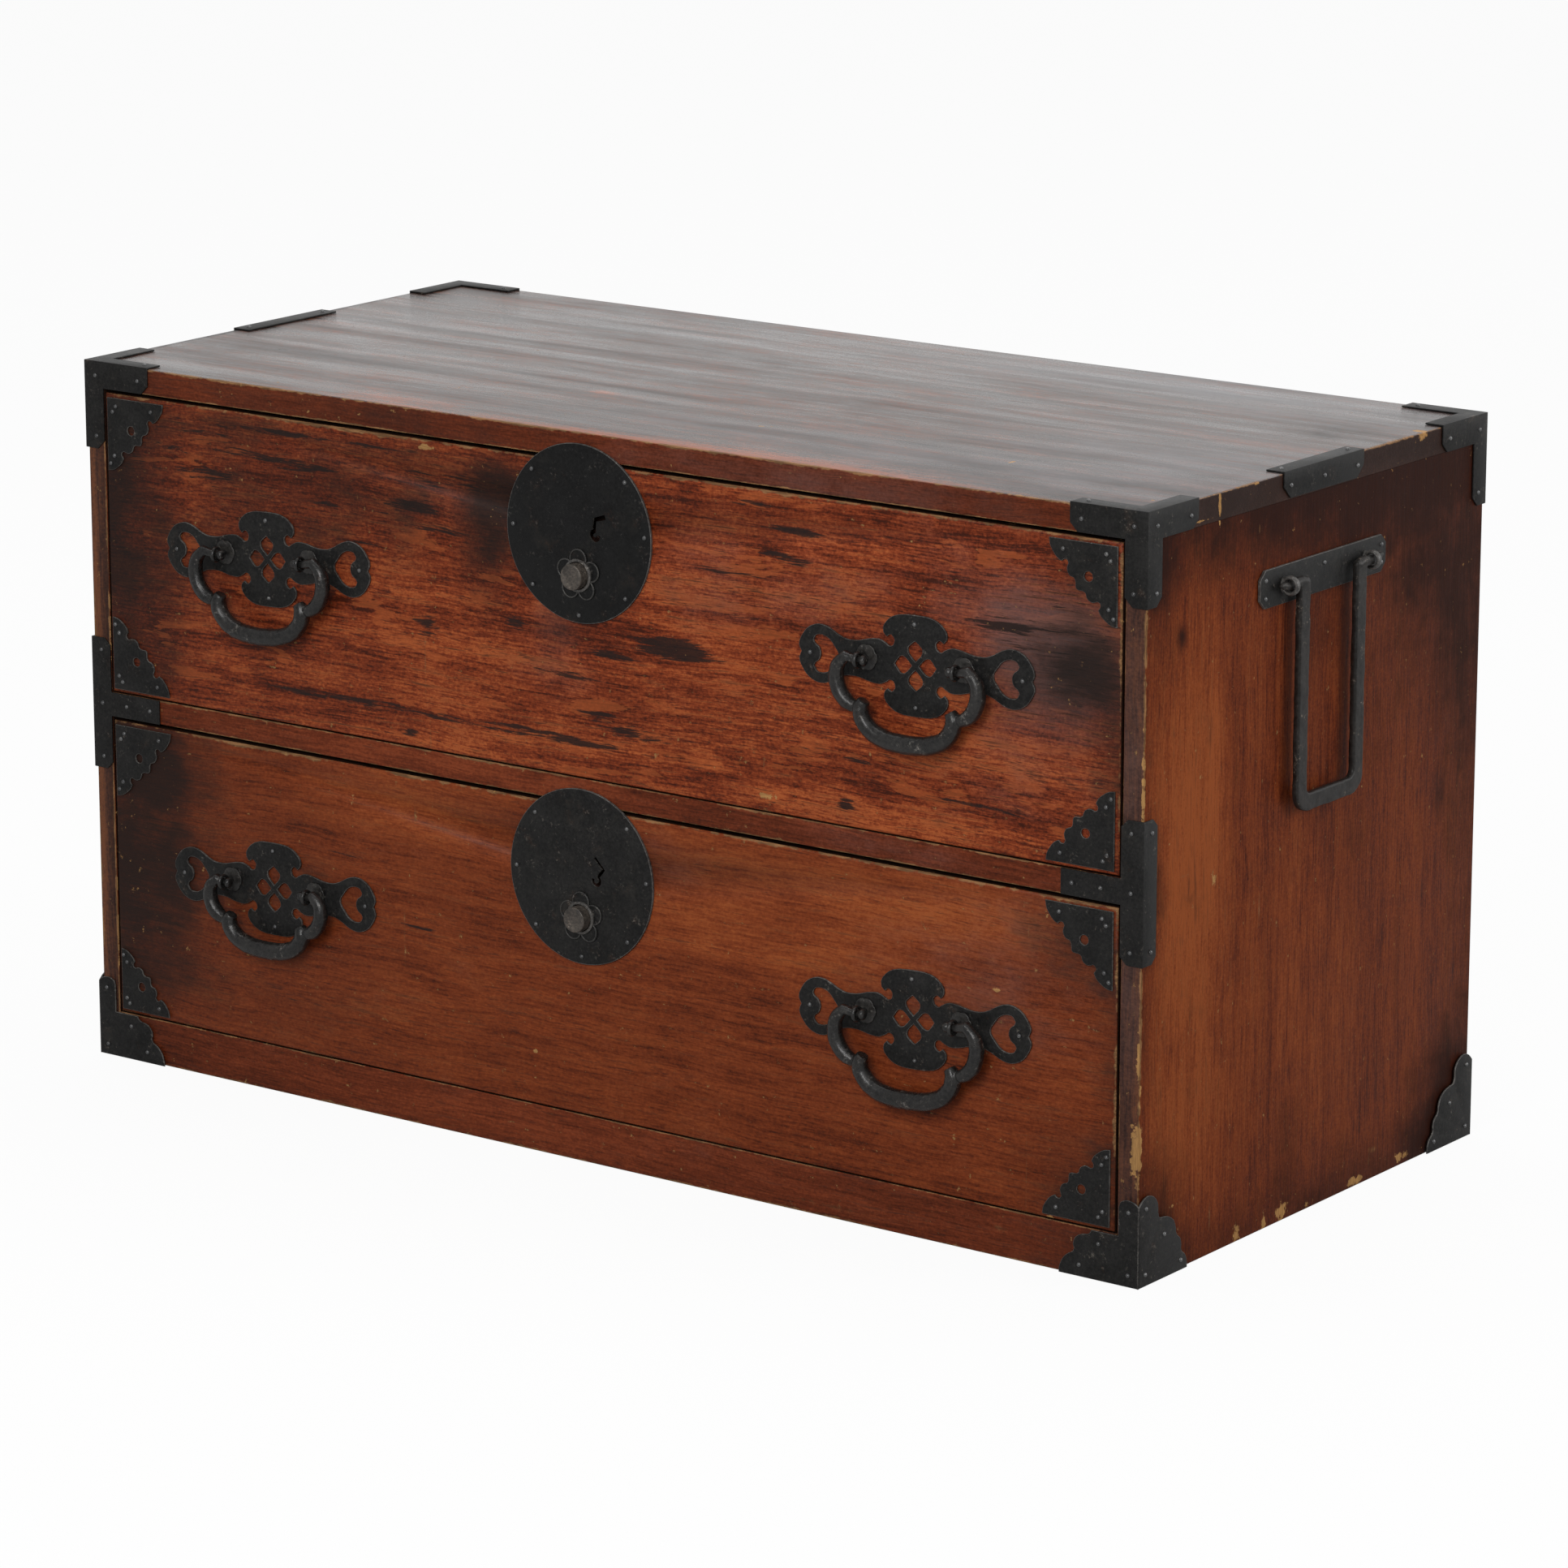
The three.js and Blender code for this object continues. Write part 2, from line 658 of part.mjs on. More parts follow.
function keyholeCuts(hook, place) {
  const cuts = [];
  const path = [];
  for (let i = 0; i <= keyholeSteps; i += 1) {
    const angle = Math.PI * THREE.MathUtils.lerp(...keyholeRingShares, i / keyholeSteps);
    path.push([keyholeShift + hook * Math.cos(angle) * keyholeRadius, keyholeRadius * Math.sin(angle)]);
  }
  const lean = keyholeRadius * keyholeLeanShare;
  path.push([keyholeShift - hook * lean, keyholeStem * keyholeBendShare]);
  path.push([keyholeShift + hook * keyholeStem * keyholeHookShare, keyholeStem]);
  for (let i = 1; i < path.length; i += 1) {
    const [x0, y0] = path[i - 1];
    const [x1, y1] = path[i];
    const length = Math.hypot(x1 - x0, y1 - y0) + keyholeSlot / 2;
    const cut = new THREE.BoxGeometry(length, keyholeSlot, 2 * (lockPlateThickness + overrun));
    cut.rotateZ(Math.atan2(y1 - y0, x1 - x0)).translate((x0 + x1) / 2, (y0 + y1) / 2, 0);
    cuts.push(solid(cut, place));
  }
  return cuts;
}

const lockNailAngles = [0, 45, 135, 180, 225, 270, 315];

function lockPlate(name, hook) {
  const place = onFront(hardwareShift, lockZ);
  const nailRing = lockPlateRadius - lockNailInset;
  const nails = lockNailAngles.map((degrees) => {
    const angle = degrees * Math.PI / 180;
    return [nailRing * Math.cos(angle), nailRing * Math.sin(angle)];
  });
  const outline = circle(0, 0, lockPlateRadius, lockPlateSides).map(({ x, y }) => [x, y]);
  let body = ironSheet(outline, nails, lockPlateThickness, place);
  for (const cut of keyholeCuts(hook, place)) body = body.subtract(cut);
  const blossom = onFront(hardwareShift, buttonZ);
  const petalRing = blossomRadius - blossomPetalRadius;
  const face = lockPlateThickness + blossomThickness;
  for (let i = 0; i < blossomPetals; i += 1) {
    const angle = Math.PI / 2 + i * 2 * Math.PI / blossomPetals;
    const petal = disc(blossomPetalRadius, 0, face, smallSides);
    petal.translate(petalRing * Math.cos(angle), petalRing * Math.sin(angle), 0);
    body = body.add(solid(petal, blossom));
  }
  const rim = face + blossomCollarHeight;
  const collar = disc(blossomCollarRadius, 0, rim, buttonSides);
  const bore = disc(buttonRadius + buttonClearance, -overrun, rim + overrun, buttonSides);
  body = body.add(solid(collar, blossom)).subtract(solid(bore, blossom));
  return piece(name, body, blackIron);
}

function lockButton(name) {
  const place = onFront(hardwareShift, buttonZ);
  const flangeFront = plateY - pocketSkin - buttonClearance;
  const flangeBack = flangeFront - buttonFlangeThickness;
  const profile = [
    [0, flangeBack],
    [buttonFlangeRadius, flangeBack],
    [buttonFlangeRadius, flangeFront],
    [buttonRadius, flangeFront],
    [buttonRadius, buttonReach - buttonBevel],
    [buttonRadius - buttonBevel, buttonReach],
    [0, buttonReach],
  ];
  return piece(name, solid(turned(profile, buttonSides), place), wornIron);
}

function lockBolt(name) {
  const half = boltWidth / 2;
  const top = drawerTop - boltSink;
  return board(
    name,
    [hardwareShift - half, hardwareShift + half],
    [boltInset, boltInset + boltThickness],
    [top - boltLength, top],
    wornIron,
  );
}

function lockCover(name) {
  const half = pocketWidth / 2 + coverMargin;
  const rear = frontThickness - drawerProud;
  const pocketTop = drawerTop - pocketTopWall;
  const top = Math.min(pocketTop + coverMargin, drawerTop);
  return board(
    name,
    [hardwareShift - half, hardwareShift + half],
    [rear + seam, rear + seam + coverThickness],
    [pocketTop - pocketHeight - coverMargin, top],
    blackIron,
  );
}

// Handle plate: one quarter of the outline, from the top middle to the right end.
const lobeShares = [[0, 1], [0.22, 0.88], [0.27, 0.69], [0.205, 0.51]];
const notchShares = [[0.205, 0.51], [0.153, 0.4], [0.212, 0.37]];
const armShares = [[0.212, 0.37], [0.38, 0.51], [0.58, 0.385], [0.7, 0.43]];
const endShares = [[0.7, 0.43], [0.84, 0.575], [1, 0.18], [0.985, 0]];
const crescentShares = [[0.87, 0.32], [0.82, 0.39], [0.74, 0.24], [0.655, 0]];
const tongueShares = [[0.87, 0.32], [0.83, 0.19], [0.815, 0]];
const plateNailShares = [[0.9, 0], [-0.9, 0], [0, 0.82], [0, -0.82]];
const petalInnerShare = 0.08;
const petalOuterShare = 0.5;
const petalWidthShare = 0.19;

function handlePlateOutline() {
  const runs = [lobeShares, notchShares, armShares, endShares];
  const quarter = runs.flatMap((run, i) => {
    return smooth(scaled(run, handlePlateHalfLength, handlePlateHalfHeight)).slice(i ? 1 : 0);
  });
  const points = quarter.map(({ x, y }) => [x, y]);
  const middle = points.slice(1, -1);
  return [
    ...points,
    ...middle.map(([x, y]) => [x, -y]).reverse(),
    [0, -points[0][1]],
    ...middle.map(([x, y]) => [-x, -y]),
    [-points.at(-1)[0], 0],
    ...middle.map(([x, y]) => [-x, y]).reverse(),
  ];
}

function crescentHole(side) {
  const outer = smooth(scaled(crescentShares, handlePlateHalfLength, handlePlateHalfHeight));
  const inner = smooth(scaled(tongueShares, handlePlateHalfLength, handlePlateHalfHeight));
  const back = outer.slice(0, -1).map((p) => point(p.x, -p.y)).reverse();
  const tongue = inner.slice(1).map((p) => point(p.x, -p.y));
  const close = inner.slice(1, -1).reverse();
  return [...outer, ...back, ...tongue, ...close].map((p) => point(side * p.x, p.y));
}

function petalHole(turn) {
  const inner = petalInnerShare * handlePlateHalfHeight;
  const outer = petalOuterShare * handlePlateHalfHeight;
  const wide = petalWidthShare * handlePlateHalfHeight;
  const mid = (inner + outer) / 2;
  const corners = [point(inner, 0), point(mid, wide), point(outer, 0), point(mid, -wide)];
  return corners.map((corner) => corner.rotateAround(point(0, 0), turn * Math.PI / 2));
}

// Handle pieces stand in the handle's own frame, at the middle of the back of its plate.
function onPlate(x, z) {
  return frame(vector(x, 0, z), vector(1, 0, 0), vector(0, 0, 1), vector(0, -1, 0));
}

function handlePlate(name) {
  const nails = scaled(plateNailShares, handlePlateHalfLength, handlePlateHalfHeight);
  const holes = [crescentHole(1), crescentHole(-1), ...[0, 1, 2, 3].map(petalHole)];
  let body = ironSheet(handlePlateOutline(), nails, handlePlateThickness, onPlate(0, 0), holes);
  const washerTop = handlePlateThickness + washerThickness;
  for (const end of [-1, 1]) {
    const at = onPlate(end * eyeSpacing / 2, eyeRise);
    body = body.add(solid(disc(washerRadius, 0, washerTop, smallSides), at));
    const hub = vector(end * eyeSpacing / 2 - eyeThickness / 2, -eyeReach, eyeRise);
    const ring = frame(hub, vector(0, 1, 0), vector(0, 0, 1), vector(1, 0, 0));
    const post = block(
      [hub.x, hub.x + eyeThickness],
      [hub.y, -handlePlateThickness / 2],
      [hub.z - eyePostWidth / 2, hub.z + eyePostWidth / 2],
    );
    const bore = disc(eyeHole, -overrun, eyeThickness + overrun, smallSides);
    body = body.add(solid(disc(eyeRadius, 0, eyeThickness, eyeSides), ring)).add(solid(post));
    body = body.subtract(solid(bore, ring));
  }
  return piece(name, body, blackIron);
}

// Forged bail: an upper arm that curls out of the eye, then a heavier bow below it.
const bailArmShares = [[0.9, 0.01], [1, -0.25], [0.78, -0.6]];
const bailBowShares = [[0.72, -0.68], [0.45, -0.93], [0.2, -0.99]];

// One half of the bail's bar: places from its tip to the middle of the bow, with radii.
function bailHalf(width, depth) {
  const eye = eyeSpacing / 2;
  const neck = eyeThickness / 2 + eyeClearance;
  const tip = eye - neck - bailBallReach;
  const stops = [
    [tip, 0, bailBallRadius * bailBallTipShare],
    [tip + bailBallReach * bailBallStartShare, 0, bailBallRadius],
    [tip + bailBallReach * bailBallEndShare, 0, bailBallRadius],
    [eye - neck, 0, bailNeckRadius],
    [eye + neck, 0, bailNeckRadius],
    [eye + neck + eyeClearance, 0, bailArmRadius],
  ];
  for (const { x, y } of smooth(scaled(bailArmShares, width, depth))) {
    stops.push([x, y, bailArmRadius]);
  }
  const bow = smooth(scaled(bailBowShares, width, depth));
  bow.forEach(({ x, y }, i) => {
    const share = i / bow.length;
    stops.push([x, y, THREE.MathUtils.lerp(bailShoulderRadius, bailBowRadius, share)]);
  });
  return stops;
}

// A bar through a list of places in one plane, each with its own radius.
function forgedBar(stops, sides) {
  const corners = [];
  const triangles = [];
  const at = (i) => point(stops[i][0], stops[i][1]);
  stops.forEach(([x, z, radius], i) => {
    const before = at(Math.max(i - 1, 0));
    const after = at(Math.min(i + 1, stops.length - 1));
    const way = after.sub(before).normalize();
    for (let k = 0; k < sides; k += 1) {
      const angle = 2 * Math.PI * (k + 0.5) / sides;
      const lean = radius * Math.cos(angle);
      corners.push(x - way.y * lean, radius * Math.sin(angle), z + way.x * lean);
    }
  });
  for (let i = 1; i < stops.length; i += 1) {
    for (let k = 0; k < sides; k += 1) {
      const a = (i - 1) * sides + k;
      const b = (i - 1) * sides + (k + 1) % sides;
      triangles.push(a, a + sides, b, b, a + sides, b + sides);
    }
  }
  const last = (stops.length - 1) * sides;
  for (let k = 2; k < sides; k += 1) {
    triangles.push(0, k - 1, k, last, last + k, last + k - 1);
  }
  const geometry = new THREE.BufferGeometry();
  geometry.setAttribute('position', new THREE.Float32BufferAttribute(corners, 3));
  geometry.setIndex(triangles);
  return geometry;
}

function drawerBail(name, [width, depth]) {
  const right = bailHalf(width, depth);
  const left = right.map(([a, b, radius]) => [-a, b, radius]);
  const stops = [...left, [0, -depth, bailBowRadius], ...right.reverse()];
  const place = new THREE.Matrix4().setPosition(0, -eyeReach, eyeRise);
  return piece(name, solid(forgedBar(stops, bailSides), place), wornIron);
}

function handle(name, x, bail, tilt) {
  const group = new THREE.Group();
  group.position.set(x, plateY, drawerTop - handleDrop);
  group.rotation.y = -THREE.MathUtils.degToRad(tilt);
  group.add(handlePlate(`${name}_handle_plate`), drawerBail(`${name}_bail`, bail));
  return group;
}

function drawer(name, openingZ, hook, lowerLeftLeg, leftHandle, rightHandle) {
  const group = new THREE.Group();
  const leftX = hardwareShift + handleInset - halfWidth;
  const rightX = hardwareShift + halfWidth - handleInset;
  group.position.set(0, frontY, openingZ);
  group.add(
    drawerFront(`${name}_drawer_front`),
    ...drawerBoards(`${name}_drawer`),
    ...cornerIrons(name, lowerLeftLeg),
    lockPlate(`${name}_lock_plate`, hook),
    lockButton(`${name}_lock_button`),
    lockBolt(`${name}_lock_bolt`),
    lockCover(`${name}_lock_cover`),
    handle(`${name}_left`, leftX, ...leftHandle),
    handle(`${name}_right`, rightX, ...rightHandle),
  );
  return group;
}

const chest = new THREE.Group();
chest.add(...caseBoards());
for (const [side, word] of [[-1, 'left'], [1, 'right']]) {
  chest.add(
    topCornerIron(`top_iron_front_${word}`, side, -1),
    topCornerIron(`top_iron_back_${word}`, side, 1),
    footIron(`foot_iron_front_${word}`, side, -1),
    footIron(`foot_iron_back_${word}`, side, 1),
    middleIron(`middle_iron_${word}`, side),
    topStrap(`top_strap_${word}`, side),
    carryPlate(`${word}_carry_plate`, side),
    carryBail(`${word}_carry_bail`, side),
  );
}
const upperHandles = [[upperLeftBail, upperLeftTilt], [upperRightBail, upperRightTilt]];
const lowerHandles = [[lowerLeftBail, lowerLeftTilt], [lowerRightBail, lowerRightTilt]];
chest.add(drawer('upper', upperOpeningZ, 1, cornerIronLeg, ...upperHandles));
chest.add(drawer('lower', baseRailHeight, -1, smallCornerIronLeg, ...lowerHandles));

export default chest;
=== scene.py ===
"""A two-drawer clothes chest section in lacquered wood with forged iron fittings."""

import math

import bmesh
import bpy
from mathutils import Matrix, Vector, noise as solid_noise


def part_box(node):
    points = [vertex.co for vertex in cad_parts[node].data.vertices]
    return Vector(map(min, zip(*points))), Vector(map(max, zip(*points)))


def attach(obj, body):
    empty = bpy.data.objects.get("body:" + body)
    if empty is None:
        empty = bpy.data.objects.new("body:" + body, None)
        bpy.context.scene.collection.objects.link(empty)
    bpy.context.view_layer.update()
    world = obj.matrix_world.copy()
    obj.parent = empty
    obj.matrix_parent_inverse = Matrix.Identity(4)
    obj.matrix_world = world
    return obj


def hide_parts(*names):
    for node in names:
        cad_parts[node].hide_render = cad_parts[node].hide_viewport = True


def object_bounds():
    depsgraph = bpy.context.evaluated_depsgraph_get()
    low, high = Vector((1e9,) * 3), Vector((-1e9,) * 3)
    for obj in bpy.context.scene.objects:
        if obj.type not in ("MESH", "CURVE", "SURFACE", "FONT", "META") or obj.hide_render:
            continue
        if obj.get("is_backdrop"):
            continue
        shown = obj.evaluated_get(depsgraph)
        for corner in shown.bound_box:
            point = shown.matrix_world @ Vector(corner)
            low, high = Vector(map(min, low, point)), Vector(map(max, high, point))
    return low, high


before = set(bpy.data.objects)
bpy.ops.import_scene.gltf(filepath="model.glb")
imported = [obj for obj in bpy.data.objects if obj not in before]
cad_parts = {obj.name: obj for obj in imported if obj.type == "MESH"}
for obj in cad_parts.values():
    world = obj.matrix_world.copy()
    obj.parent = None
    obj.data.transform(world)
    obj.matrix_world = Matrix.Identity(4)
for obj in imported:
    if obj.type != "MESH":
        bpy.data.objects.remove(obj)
cad_box = [list(corner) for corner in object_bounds()]
MM = 0.001

# Camera
# It stands to the right of the chest's front and a little above it, and looks down on it
# with a long lens, so that the front, the top and the right side show.
camera_place = Vector((2.5632, -3.4446, 1.3071))
camera_aim = Vector((-0.577, 0.779, -0.244))
camera_lens = 144.45
camera = bpy.data.objects.new("camera", bpy.data.cameras.new("camera"))
bpy.context.scene.collection.objects.link(camera)
camera.location = camera_place
camera.rotation_euler = camera_aim.to_track_quat("-Z", "Y").to_euler()
camera.data.sensor_width = 36
camera.data.lens = camera_lens
bpy.context.scene.camera = camera

# Studio
# A pale floor that fades into a white background, a large soft lamp in front, one on the
# right, and one overhead.
floor_size = 14
floor_sink = 0.5 * MM
floor_white = 0.94
floor_mirrored = 0.3
floor_seen = (236, 236, 236)
floor_bounce = (150, 150, 150)
sky_level = 0.4
rear_start = -0.1
rear_full = 0.35
lamp_aim = Vector((0, 0, 0.25))
lamps = [
    ("front_lamp", (1.1, -3.4, 2.1), 1.8, 66),
    ("side_lamp", (3.3, 1.3, 1.5), 1.6, 43),
    ("top_lamp", (-0.4, 0.5, 3.2), 2.4, 36),
]


def tint(red, green, blue):
    """A colour as it is seen on a screen, from 0 to 255, as linear light."""
    parts = [value / 255 for value in (red, green, blue)]
    return (*(p / 12.92 if p <= 0.04045 else ((p + 0.055) / 1.055) ** 2.4 for p in parts), 1)


def add(tree, kind, settings=None, **sockets):
    """A shader node with its settings made, and its sockets linked or set by name or number."""
    node = tree.nodes.new("ShaderNode" + kind)
    for key, value in (settings or {}).items():
        setattr(node, key, value)
    for key, value in sockets.items():
        socket = node.inputs[int(key[1:])] if key[0] == "_" else node.inputs[key.replace("_", " ")]
        if isinstance(value, bpy.types.NodeSocket):
            tree.links.new(value, socket)
        else:
            socket.default_value = value
    return node


def sums(tree, operation, first, second=0.0, third=0.0):
    """The result of one sum on plain values."""
    node = add(tree, "Math", {"operation": operation}, _0=first, _1=second, _2=third)
    return node.outputs[0]


def fresh(name):
    """A new material with an empty tree."""
    material = bpy.data.materials.new(name)
    material.use_nodes = True
    material.node_tree.nodes.clear()
    return material, material.node_tree


bpy.ops.mesh.primitive_plane_add(size=floor_size, location=(0, 0, -floor_sink))
floor = bpy.context.object
floor.name = "floor"
paper, tree = fresh("paper")
rays = add(tree, "LightPath").outputs
white = add(tree, "Emission", Color=(1, 1, 1, 1), Strength=1).outputs[0]
lit = add(tree, "BsdfDiffuse", Color=tint(*floor_seen)).outputs[0]
mirrored = sums(tree, "MAXIMUM", rays["Is Glossy Ray"], rays["Is Transmission Ray"])
share = sums(tree, "MULTIPLY", rays["Is Camera Ray"], floor_white)
share = sums(tree, "MULTIPLY_ADD", mirrored, floor_mirrored, share)
dull = add(tree, "BsdfDiffuse", Color=tint(*floor_bounce)).outputs[0]
lit = add(tree, "MixShader", Fac=rays["Is Camera Ray"], _1=dull, _2=lit).outputs[0]
add(tree, "OutputMaterial", Surface=add(tree, "MixShader", Fac=share, _1=lit, _2=white).outputs[0])
floor.data.materials.append(paper)
floor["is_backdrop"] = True

world = bpy.data.worlds.new("studio")
world.use_nodes = True
world.node_tree.nodes.clear()
tree = world.node_tree
rays = add(tree, "LightPath").outputs
dim = add(tree, "Background", Color=(1, 1, 1, 1), Strength=sky_level).outputs[0]
white = add(tree, "Background", Color=(1, 1, 1, 1), Strength=1).outputs[0]
seen = sums(tree, "MAXIMUM", rays["Is Camera Ray"], rays["Is Transmission Ray"])
rear = add(tree, "SeparateXYZ", Vector=add(tree, "TexCoord").outputs["Generated"]).outputs["Y"]
rear = add(tree, "MapRange", Value=rear, _1=rear_start, _2=rear_full, _3=0, _4=1).outputs[0]
seen = sums(tree, "MAXIMUM", seen, sums(tree, "MULTIPLY", rays["Is Glossy Ray"], rear))
add(tree, "OutputWorld", Surface=add(tree, "MixShader", Fac=seen, _1=dim, _2=white).outputs[0])
bpy.context.scene.world = world

for name, place, size, power in lamps:
    lamp = bpy.data.objects.new(name, bpy.data.lights.new(name, "AREA"))
    bpy.context.scene.collection.objects.link(lamp)
    lamp.location = place
    lamp.rotation_euler = (lamp_aim - lamp.location).to_track_quat("-Z", "Y").to_euler()
    lamp.data.size = size
    lamp.data.energy = power
bpy.context.scene.view_settings.view_transform = "Standard"

# Case boards
# Softwood boards, pegged and glued at the corners, wiped with red lacquer over a dark
# ground. Their edges were eased with a plane, and handling has worn the lacquer off them.
case_ease = 0.9 * MM
top_ease = 1.3 * MM
rough_ease = 0.6 * MM
ease_steps = 3
long_edge = 60 * MM
sharp_edge = 0.5
same_corner = 0.005 * MM
same_plane = math.radians(0.5)
smooth_bend = math.radians(35)
same_way = 0.8
side_x = 449
seam_height = 491.9
seam_reach = 0.3
top_z = 510
front_y = -207.5
stile_inner = (-434, 433)
ink = (36, 29, 27)
worn_wood = (162, 120, 80)
worn_shade = 0.66
bare_chip = (212, 162, 98)
grain_wave = 16 * MM
lacquer_relief = 0.45 * MM


def spread(tree, value, low, high, start=0.0, stop=1.0):
    """A value's range from low to high, drawn out from start to stop with soft ends."""
    kind = {"interpolation_type": "SMOOTHSTEP"}
    node = add(tree, "MapRange", kind, Value=value, _1=low, _2=high, _3=start, _4=stop)
    return node.outputs[0]


def added(tree, *parts):
    """The sum of some values, each times its weight."""
    total = 0.0
    for value, weight in parts:
        total = sums(tree, "MULTIPLY_ADD", value, weight, total)
    return total


def mixed(tree, share, under, over):
    """A colour laid over another one by a share."""
    node = add(tree, "Mix", {"data_type": "RGBA"}, _0=share, _6=under, _7=over)
    return node.outputs[2]


def ramp(tree, value, colours):
    """A colour from an even row of colours."""
    node = add(tree, "ValToRGB", Fac=value)
    elements = node.color_ramp.elements
    while len(elements) < len(colours):
        elements.new(0.5)
    for i, colour in enumerate(colours):
        elements[i].position = i / (len(colours) - 1)
        elements[i].color = tint(*colour)
    return node.outputs["Color"]


def cloud(tree, place, length, width, detail=3.0, roughness=0.5, distortion=0.0):
    """Soft noise whose shapes are so many millimetres long and wide, along the grain."""
    scaled = add(tree, "VectorMath", {"operation": "MULTIPLY"}, _0=place)
    scaled.inputs[1].default_value = (1 / (length * MM), 1 / (width * MM), 1 / (width * MM))
    node = add(
        tree, "TexNoise", Vector=scaled.outputs[0], Scale=1.0, Detail=detail, Roughness=roughness,
        Distortion=distortion,
    )
    return node.outputs["Fac"]


def patches(tree, place, face, rows):
    """The sum of soft spots on a face: each row is a place, two half sizes and a weight."""
    total = 0.0
    far = 5000
    for first, second, wide, high, weight in rows:
        centre, reach = {
            "front": ((first, front_y, second), (wide, far, high)),
            "side": ((0, first, second), (far, wide, high)),
            "top": ((first, second, 0), (wide, high, far)),
        }[face]
        node = add(tree, "Mapping", {"vector_type": "TEXTURE"}, Vector=place)
        node.inputs["Location"].default_value = [value * MM for value in centre]
        node.inputs["Scale"].default_value = [value * MM for value in reach]
        spot = add(tree, "TexGradient", {"gradient_type": "SPHERICAL"}, Vector=node.outputs[0])
        total = sums(tree, "MULTIPLY_ADD", spot.outputs["Fac"], weight, total)
    return total


def along_edge(tree, parts, planes, reach, ragged):
    """1 on the line where two planes meet and 0 away from it, with a ragged border."""
    gap = 0.0
    for axis, value in planes:
        off = sums(tree, "ABSOLUTE", sums(tree, "SUBTRACT", parts[axis], value * MM))
        gap = sums(tree, "MAXIMUM", gap, off)
    gap = sums(tree, "MULTIPLY_ADD", gap, 1 / (reach * MM), ragged)
    return spread(tree, gap, 1.15, 0.55)


